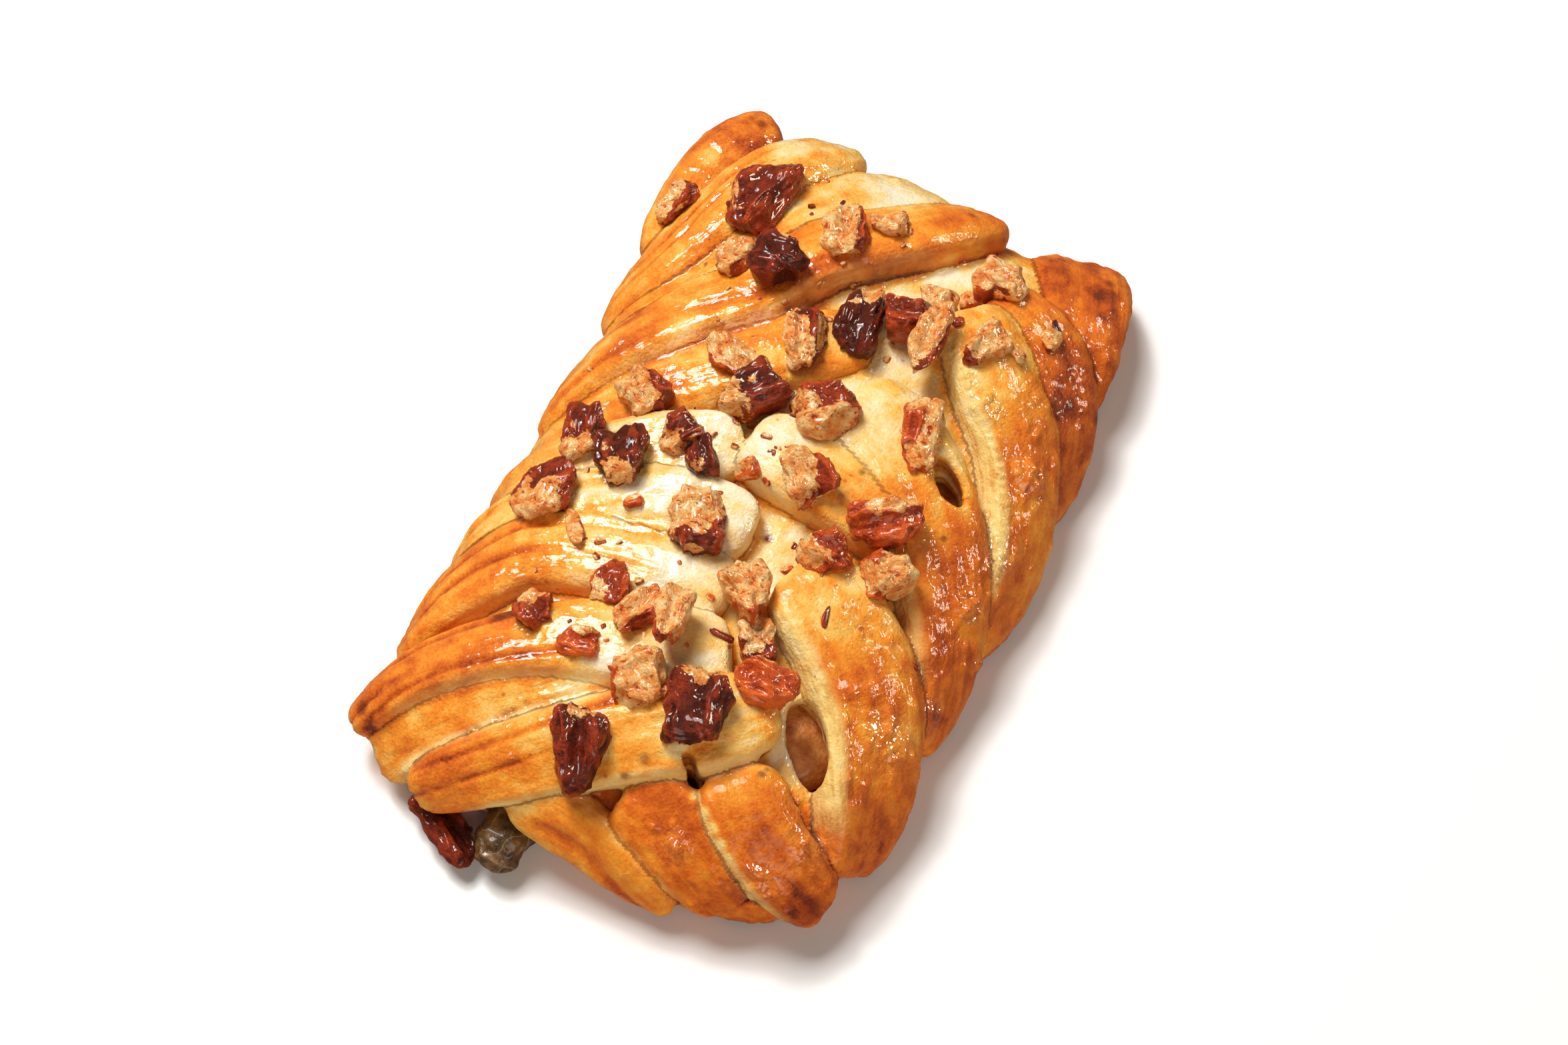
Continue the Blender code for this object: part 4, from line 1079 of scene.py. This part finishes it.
def make_pecans(below):
    """The pieces, lowest first, each let down on the objects below and on the pieces already made."""
    directions, faces = unit_sphere(PECAN_DETAIL)
    tree = tree_of(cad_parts["dough"])
    below = [tree_of(obj) for obj in below]
    pieces, laid = [], []
    rows = sorted(enumerate(PECANS), key=lambda row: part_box(f"pecan_{row[0] + 1:02d}")[0].z)
    for index, (x, y, length, width, turn, dark, cream, cream_turn) in rows:
        name = f"pecan_{index + 1:02d}"
        at_end = index == len(PECANS) - 1
        axes = end_frame(turn) if at_end else dough_frame(tree, x, y, length, turn)
        shape, pale, deep = pecan_shape(directions, index, length, width, cream, cream_turn - turn)
        shape, middle = in_box(shape @ np.array(axes).T, *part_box(name))
        if not at_end:
            others = [other for place, other in laid if (place - middle).length < CARRIER_REACH]
            shape = let_down(shape, directions, below + others)
        piece = new_mesh_object(f"{name}_fine", shape, faces)
        laid.append((middle, tree_of(piece)))
        store(piece, pale=pale, deep=deep, dark=np.full(len(shape), dark), place=shape + index * PLACE_STEP)
        piece.data.shade_smooth()
        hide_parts(name)
        pieces.append(piece)
    return pieces


def fine_crumbs():
    """Seeded rows like those of CRUMBS."""
    rng = np.random.default_rng(CRUMB_SEED)
    (x0, y0), (x1, y1) = CRUMB_LINE
    rows = []
    for _ in range(FINE_CRUMBS):
        share, off = rng.uniform(0, 1), rng.normal(0, CRUMB_SPREAD / 2)
        long, wide = rng.uniform(*FINE_SIZE), rng.uniform(*FINE_WIDTH)
        rows.append((x0 + (x1 - x0) * share + off, y0 + (y1 - y0) * share + off / 2, long, long * wide,
                     rng.uniform(0, 180), rng.uniform(*FINE_DARK), rng.uniform(*FINE_PALE)))
    return rows


def make_crumbs(dough):
    """All crumbs as one mesh: the named ones are set down where the photograph shows them."""
    skin = tree_of(dough)
    directions, faces = unit_sphere(CRUMB_DETAIL)
    _, right, up = camera_axes()
    all_faces, fields = [], {"pale": [], "deep": [], "dark": [], "place": []}
    points = []
    for index, (px, py, length, width, turn, dark, cream) in enumerate(CRUMBS + fine_crumbs()):
        hit, normal = seen_at(skin, px, py)
        if not hit:
            continue
        angle = math.radians(turn)
        axes = np.array(axes_on(normal, right * math.cos(angle) + up * math.sin(angle)))
        shape, pale, deep = pecan_shape(directions, index + CRUMB_PHASE, length, width, cream, CRUMB_FACE)
        rise = shape[:, 2].max() * (1 - 2 * CRUMB_SINK) / 2
        all_faces += [tuple(i + len(directions) * len(points) for i in f) for f in faces]
        points.append(shape @ axes.T + np.array(hit / MM - SHIFT) + np.array(normal) * rise)
        values = pale, deep, np.full(len(shape), dark), points[-1] + index * CRUMB_STEP
        for key, value in zip(fields, values):
            fields[key].append(value)
    crumbs = new_mesh_object("crumbs", np.concatenate(points), all_faces)
    store(crumbs, **{key: np.concatenate(values) for key, values in fields.items()})
    crumbs.data.shade_smooth()
    return crumbs


# ---- materials

EXPOSURE = 1.0  # how much brighter than its own colour a face looks that the light falls on
CRUST_STOPS = [(0.0, (0.98, 0.92, 0.78)), (0.15, (0.98, 0.85, 0.59)), (0.32, (0.97, 0.75, 0.36)),
               (0.50, (0.95, 0.59, 0.17)), (0.68, (0.88, 0.45, 0.11)), (0.85, (0.74, 0.32, 0.08)),
               (1.0, (0.46, 0.18, 0.07))]
LAYER_STOPS = [(0.0, (0.98, 0.92, 0.70)), (0.35, (0.95, 0.82, 0.50)), (0.62, (0.86, 0.64, 0.31)),
               (1.0, (0.66, 0.40, 0.15))]
# The crease colour is pooled glaze and painted shade.
CREASE_GLAZE_AND_SHADE_COLOUR, INNER_COLOUR = (0.60, 0.26, 0.08), (0.78, 0.46, 0.17)
# The speck colour also paints the shade inside holes.
FRECKLE_COLOUR, SPECK_AND_HOLE_SHADE_COLOUR, THREAD_COLOUR = (0.70, 0.32, 0.10), (0.46, 0.16, 0.05), (0.76, 0.64, 0.42)
INSIDE_STOPS = [(0.3, (0.66, 0.36, 0.13)), (0.5, (0.78, 0.48, 0.20)), (0.72, (0.86, 0.60, 0.30))]
OUTSIDE_STOPS = [(0.3, (0.22, 0.13, 0.05)), (0.5, (0.40, 0.27, 0.12)), (0.72, (0.58, 0.42, 0.22))]
SKIN_STOPS = [(0.0, (0.94, 0.44, 0.16)), (0.25, (0.84, 0.35, 0.13)), (0.5, (0.69, 0.25, 0.10)),
              (0.75, (0.53, 0.18, 0.08)), (1.0, (0.34, 0.12, 0.06))]
FLESH_STOPS = [(0.0, (1.0, 0.83, 0.57)), (0.35, (0.97, 0.67, 0.36)), (0.65, (0.90, 0.48, 0.21)),
               (1.0, (0.64, 0.26, 0.10))]
# Noise of the materials: cells to a millimetre, detail, roughness.
BROAD, MOTTLE, FINE, FEW = (0.11, 2.0), (0.38, 2.5, 0.5), (2.2, 3.0, 0.6), (0.23, 1.0)
ROLL_CLOUD, THREADS, ROLL_GRAIN = (0.5, 3.0), (0.22, 1.0), (1.6, 3.0)
NUT_CLOUD, NUT_FINE = (0.55, 3.0), (2.4, 4.0, 0.6)
# Stretched noise: cells to a millimetre along, across and up, then as above.
STREAK, LAYERS = ((0.10, 0.75, 0.75), 1.0, 3.0), ((0.24, 0.7, 1.5), 1.0, 3.0, 0.6)
RIPPLE, VEINS = ((0.32, 0.72, 0.72), 1.0, 1.0, 0.4), ((0.9, 1.4, 1.1), 0.8, 4.0, 0.65)
NOISE_RANGE = 0.3, 0.7  # where most values of a noise lie
# What is added to the baking: from how much to how much by each noise, by a crease and on a ridge between two
# depths, and by a pleat. Creases and pleat valleys turn browner, part pooled glaze and part painted shade;
# the paler ridges are a painted highlight.
BROAD_BAKE, MOTTLE_BAKE, STREAK_BAKE, FINE_BAKE = (-0.11, 0.10), (-0.08, 0.08), (-0.05, 0.05), (-0.05, 0.07)
CREASE_GLAZE_AND_SHADE_BAKE, RIDGE_PAINTED_HIGHLIGHT, PLEAT_GLAZE_AND_SHADE_BAKE = (0.02, 0.42, 0.0, 0.32), (-0.35, -0.05, -0.09, 0.0), 0.36
# How far creases take the crease colour, as pooled glaze and painted shade.
CREASE_SHADE = 0.5, 1.2, 0.0, 0.6
LAYER_SHADE, LAYER_MOTTLE, LAYER_BAKE = (0.36, 0.70, 0.0, 0.24), (-0.08, 0.12), 0.46
# Freckles: how far apart, how large, where there are any, and how strong.
FRECKLE_CELLS, FRECKLE_SIZE, FRECKLE_PLACES, FRECKLE_SHARE = 0.42, (0.10, 0.15), (0.56, 0.62), 0.55
INNER_SHARE = 0.85  # how strongly the walls of the openings have their own colour
# Domes of thick glaze, and ripples: how far apart, from where to where, how thick the glaze has to be.
DOME_CELLS, DOME_EDGE, DOME_WET, RIPPLE_WET = 0.50, (0.0, 0.45), (0.5, 1.0), (0.6, 1.0, 0.26, 0.7)
# Heights of bumps in millimetres.
MOTTLE_BUMP, FINE_BUMP, LAYER_BUMP, DOME_BUMP, RIPPLE_BUMP = 0.35, 0.26, 0.14, 0.22, 0.42
ROLL_BUMP, VEIN_BUMP, NUT_BUMP = 0.25, 0.9, 0.28


def linear(colour):
    """The linear colour for a shader, from the colour that a face shows under this scene's light."""
    return tuple((c / 12.92 if c <= 0.04045 else ((c + 0.055) / 1.055) ** 2.4) / EXPOSURE for c in colour)


class Nodes:
    """A short way to write a material's node tree."""

    def __init__(self, name):
        self.material = bpy.data.materials.new(name)
        self.material.use_nodes = True
        self.tree = self.material.node_tree
        self.shader = self.tree.nodes["Principled BSDF"]

    def add(self, kind, inputs, **settings):
        """A node with these settings, and its inputs linked to outputs or set to values."""
        node = self.tree.nodes.new(kind)
        for key, value in settings.items():
            setattr(node, key, value)
        for key, value in inputs.items():
            self.link(value, node.inputs[key])
        return node

    def link(self, value, socket):
        if isinstance(value, bpy.types.NodeSocket):
            self.tree.links.new(value, socket)
        else:
            socket.default_value = value

    def shade(self, **inputs):
        """Give the shader its inputs, whose names have _ for each space."""
        for key, value in inputs.items():
            self.link(value, self.shader.inputs[key.replace("_", " ")])
        return self.material

    def read(self, name):
        return self.add("ShaderNodeAttribute", {}, attribute_name=name).outputs["Fac"]

    def read_vector(self, name):
        return self.add("ShaderNodeAttribute", {}, attribute_name=name).outputs["Vector"]

    def maths(self, operation, first, *others):
        """One operation on two values, or on more from left to right."""
        for other in others:
            first = self.add("ShaderNodeMath", {0: first, 1: other}, operation=operation).outputs[0]
        return first

    def total(self, *values):
        return self.maths("ADD", *values)

    def product(self, *values):
        return self.maths("MULTIPLY", *values)

    def noise(self, vector, scale, detail=3.0, rough=0.55):
        inputs = {"Vector": vector, "Scale": scale, "Detail": detail, "Roughness": rough}
        return self.add("ShaderNodeTexNoise", inputs).outputs["Fac"]

    def stretched_noise(self, vector, stretch, *noise):
        node = self.add("ShaderNodeVectorMath", {0: vector, 1: stretch}, operation="MULTIPLY")
        return self.noise(node.outputs[0], *noise)

    def cells(self, vector, scale):
        node = self.add("ShaderNodeTexVoronoi", {"Vector": vector, "Scale": scale}, feature="F1")
        return node.outputs["Distance"]

    def span(self, value, low, high, to_low=0.0, to_high=1.0):
        inputs = {"Value": value, "From Min": low, "From Max": high, "To Min": to_low, "To Max": to_high}
        return self.add("ShaderNodeMapRange", inputs, interpolation_type="SMOOTHSTEP").outputs[0]

    def swing(self, noise, to_low, to_high):
        return self.span(noise, *NOISE_RANGE, to_low, to_high)

    def ramp(self, value, stops):
        node = self.add("ShaderNodeValToRGB", {0: value})
        elements = node.color_ramp.elements
        while len(elements) < len(stops):
            elements.new(1.0)
        for element, (place, colour) in zip(elements, stops):
            element.position = place
            element.color = (*linear(colour), 1.0)
        return node.outputs[0]

    def mix(self, share, a, b):
        node = self.add("ShaderNodeMix", {"Factor": share}, data_type="RGBA", blend_type="MIX")
        for value, socket in zip((a, b), [s for s in node.inputs if s.type == "RGBA"]):
            self.link((*linear(value), 1.0) if isinstance(value, tuple) else value, socket)
        return [s for s in node.outputs if s.type == "RGBA"][0]

    def bump(self, height, distance_mm, after=None):
        inputs = {"Height": height, "Distance": distance_mm * MM, "Strength": 1.0}
        if after is not None:
            inputs["Normal"] = after
        return self.add("ShaderNodeBump", inputs).outputs[0]


def dough_colour(n, place, mottle, streak, fine, layers):
    """The crust by its baking, browner in creases and pleats from pooled glaze and painted shade, paler on
    ridges as a painted highlight, the layered cut, the walls of the openings, freckles, and specks with
    painted shade in holes.
    """
    bake, cut, crease, inner, wet = (n.read(key) for key in ("bake", "cut", "crease", "inner", "wet"))
    fine_bake = n.product(n.swing(fine, *FINE_BAKE), n.total(wet, 0.5))
    # Creases and pleat valleys turn browner, part pooled glaze and part painted shade; ridges turn paler, a
    # painted highlight.
    level = n.total(bake, n.swing(n.noise(place, *BROAD), *BROAD_BAKE), n.swing(mottle, *MOTTLE_BAKE),
                    n.swing(streak, *STREAK_BAKE), fine_bake, n.span(crease, *CREASE_GLAZE_AND_SHADE_BAKE),
                    n.span(crease, *RIDGE_PAINTED_HIGHLIGHT), n.product(n.read("pleat"), PLEAT_GLAZE_AND_SHADE_BAKE))
    # The crease colour over the crust: pooled glaze and painted shade.
    crust = n.mix(n.span(crease, *CREASE_SHADE), n.ramp(level, CRUST_STOPS), CREASE_GLAZE_AND_SHADE_COLOUR)
    layer_level = n.total(n.span(layers, *LAYER_SHADE), n.swing(mottle, *LAYER_MOTTLE),
                          n.product(bake, LAYER_BAKE))
    colour = n.mix(cut, crust, n.ramp(layer_level, LAYER_STOPS))
    colour = n.mix(n.product(inner, INNER_SHARE), colour, INNER_COLOUR)
    freckles = n.span(n.cells(place, FRECKLE_CELLS), *FRECKLE_SIZE, 1.0, 0.0)
    few = n.span(n.noise(place, *FEW), *FRECKLE_PLACES)
    colour = n.mix(n.product(freckles, few, FRECKLE_SHARE), colour, FRECKLE_COLOUR)
    # Specks, and the painted shade inside holes.
    return n.mix(n.read("speck"), colour, SPECK_AND_HOLE_SHADE_COLOUR)


def dough_material():
    n = Nodes("baked_dough")
    grain, place = n.read_vector("grain"), n.read_vector("place")
    cut, wet = n.read("cut"), n.read("wet")
    mottle, fine = n.noise(place, *MOTTLE), n.noise(place, *FINE)
    streak, layers = n.stretched_noise(grain, *STREAK), n.stretched_noise(grain, *LAYERS)
    first = n.bump(n.total(n.product(streak, 0.5), mottle), MOTTLE_BUMP)
    crust = n.bump(n.product(layers, cut), LAYER_BUMP, after=n.bump(fine, FINE_BUMP, after=first))
    domes = n.maths("POWER", n.cells(place, DOME_CELLS), 2.0)
    domes = n.product(n.span(domes, *DOME_EDGE, 1.0, 0.0), n.span(wet, *DOME_WET))
    ripple = n.product(n.stretched_noise(grain, *RIPPLE), n.span(wet, *RIPPLE_WET))
    glaze = n.bump(domes, DOME_BUMP, after=n.bump(ripple, RIPPLE_BUMP, after=first))
    return n.shade(Base_Color=dough_colour(n, place, mottle, streak, fine, layers),
                   Roughness=n.total(n.swing(mottle, 0.36, 0.50), n.product(cut, 0.2)),
                   Specular_IOR_Level=0.08, Coat_Weight=n.span(wet, 0.1, 0.9, 0.22, 1.0),
                   Coat_IOR=1.6, Coat_Roughness=0.05,
                   Subsurface_Weight=0.2, Subsurface_Radius=(1.0, 0.5, 0.2), Subsurface_Scale=1.4 * MM,
                   Normal=crust, Coat_Normal=glaze)


def filling_material():
    n = Nodes("maple_filling")
    place = n.read_vector("place")
    cloud = n.noise(place, *ROLL_CLOUD)
    threads = n.maths("ABSOLUTE", n.maths("SUBTRACT", n.noise(place, *THREADS), 0.5), 0.0)
    outside = n.mix(n.span(threads, 0.0, 0.02, 0.35, 0.0), n.ramp(cloud, OUTSIDE_STOPS), THREAD_COLOUR)
    return n.shade(Base_Color=n.mix(n.read("mouth"), n.ramp(cloud, INSIDE_STOPS), outside),
                   Roughness=n.swing(cloud, 0.28, 0.45), Coat_Weight=0.4, Coat_Roughness=0.12,
                   Normal=n.bump(n.noise(place, *ROLL_GRAIN), ROLL_BUMP))


def pecan_material():
    n = Nodes("glazed_pecan")
    place = n.read_vector("place")
    cloud, fine = n.noise(place, *NUT_CLOUD), n.noise(place, *NUT_FINE)
    veins = n.stretched_noise(place, *VEINS)
    level = n.total(n.read("dark"), n.swing(cloud, -0.12, 0.12), n.span(n.read("deep"), 0.1, 0.7, 0.0, 0.28))
    pale = n.span(n.total(n.read("pale"), n.span(veins, 0.35, 0.65, -0.48, 0.40)), 0.40, 0.66)
    edge = n.product(n.span(pale, 0.1, 0.5), n.span(pale, 0.6, 1.0, 1.0, 0.0))
    flesh_level = n.total(n.swing(cloud, -0.1, 0.50), n.swing(fine, 0.0, 0.20), n.product(edge, 0.4))
    return n.shade(Base_Color=n.mix(pale, n.ramp(level, SKIN_STOPS), n.ramp(flesh_level, FLESH_STOPS)),
                   Roughness=n.swing(cloud, 0.26, 0.42), Specular_IOR_Level=0.1, Coat_Weight=0.5,
                   Coat_Roughness=0.08, Subsurface_Weight=0.2, Subsurface_Radius=(1.0, 0.45, 0.2),
                   Subsurface_Scale=1.0 * MM, Normal=n.bump(fine, NUT_BUMP, after=n.bump(veins, VEIN_BUMP)))


def floor_material():
    return Nodes("floor_white").shade(Base_Color=(0.94, 0.94, 0.94, 1), Roughness=0.9, Specular_IOR_Level=0.1)


# ---- floor and light

# Each light: place in metres, size, power, colour, and whether it is there for the glints in the glaze alone.
LIGHTS = {
    "key": ((-0.44, 0.18, 0.88), 0.50, 9.2, (1.0, 0.98, 0.95), False),
    "spark": ((-0.50, 0.30, 0.82), 0.16, 2.8, (1.0, 1.0, 1.0), False),
    "back": ((0.34, 0.62, 0.62), 0.22, 5.0, (1.0, 0.90, 0.72), True),
    "side": ((0.78, 0.42, 0.46), 0.20, 4.0, (1.0, 0.90, 0.72), True),
    "fill": ((0.45, -0.50, 0.45), 0.50, 1.8, (1.0, 0.86, 0.70), False),
}
LIGHT_TARGET = Vector((0, 0, 0.01))
WORLD_COLOUR, WORLD_STRENGTH = (1.0, 0.99, 0.98, 1), 0.12
FLOOR_SIZE, FLOOR_SEGMENTS = 3.0, 8


def make_floor():
    bm = bmesh.new()
    bmesh.ops.create_grid(bm, x_segments=FLOOR_SEGMENTS, y_segments=FLOOR_SEGMENTS, size=FLOOR_SIZE)
    mesh = bpy.data.meshes.new("floor")
    bm.to_mesh(mesh)
    bm.free()
    floor = add_object("floor", mesh)
    floor.data.materials.append(floor_material())
    floor.visible_glossy = False


def make_light(name, place, size, power, colour, glint_only):
    data = bpy.data.lights.new(name, "AREA")
    data.shape = "DISK"
    data.size = size
    data.energy = power
    data.color = colour
    light = add_object(name, data)
    light.location = place
    light.visible_diffuse = not glint_only
    light.rotation_mode = "QUATERNION"
    light.rotation_quaternion = (LIGHT_TARGET - Vector(place)).to_track_quat("-Z", "Y")


def make_world():
    world = bpy.data.worlds.new("studio")
    bpy.context.scene.world = world
    world.use_nodes = True
    background = world.node_tree.nodes["Background"]
    background.inputs["Color"].default_value = WORLD_COLOUR
    background.inputs["Strength"].default_value = WORLD_STRENGTH


def dress(piece, material):
    piece.data.materials.clear()
    piece.data.materials.append(material)
    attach(piece, "root")


make_camera()
make_floor()
make_world()
for light_name, light_values in LIGHTS.items():
    make_light(light_name, *light_values)
bpy.context.scene.view_settings.view_transform = "Standard"

dough = make_dough()
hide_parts("dough")
dress(dough, dough_material())
filling = make_filling()
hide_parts("filling")
dress(filling, filling_material())
nut = pecan_material()
for piece in make_pecans([dough, filling]):
    dress(piece, nut)
dress(make_crumbs(dough), nut)
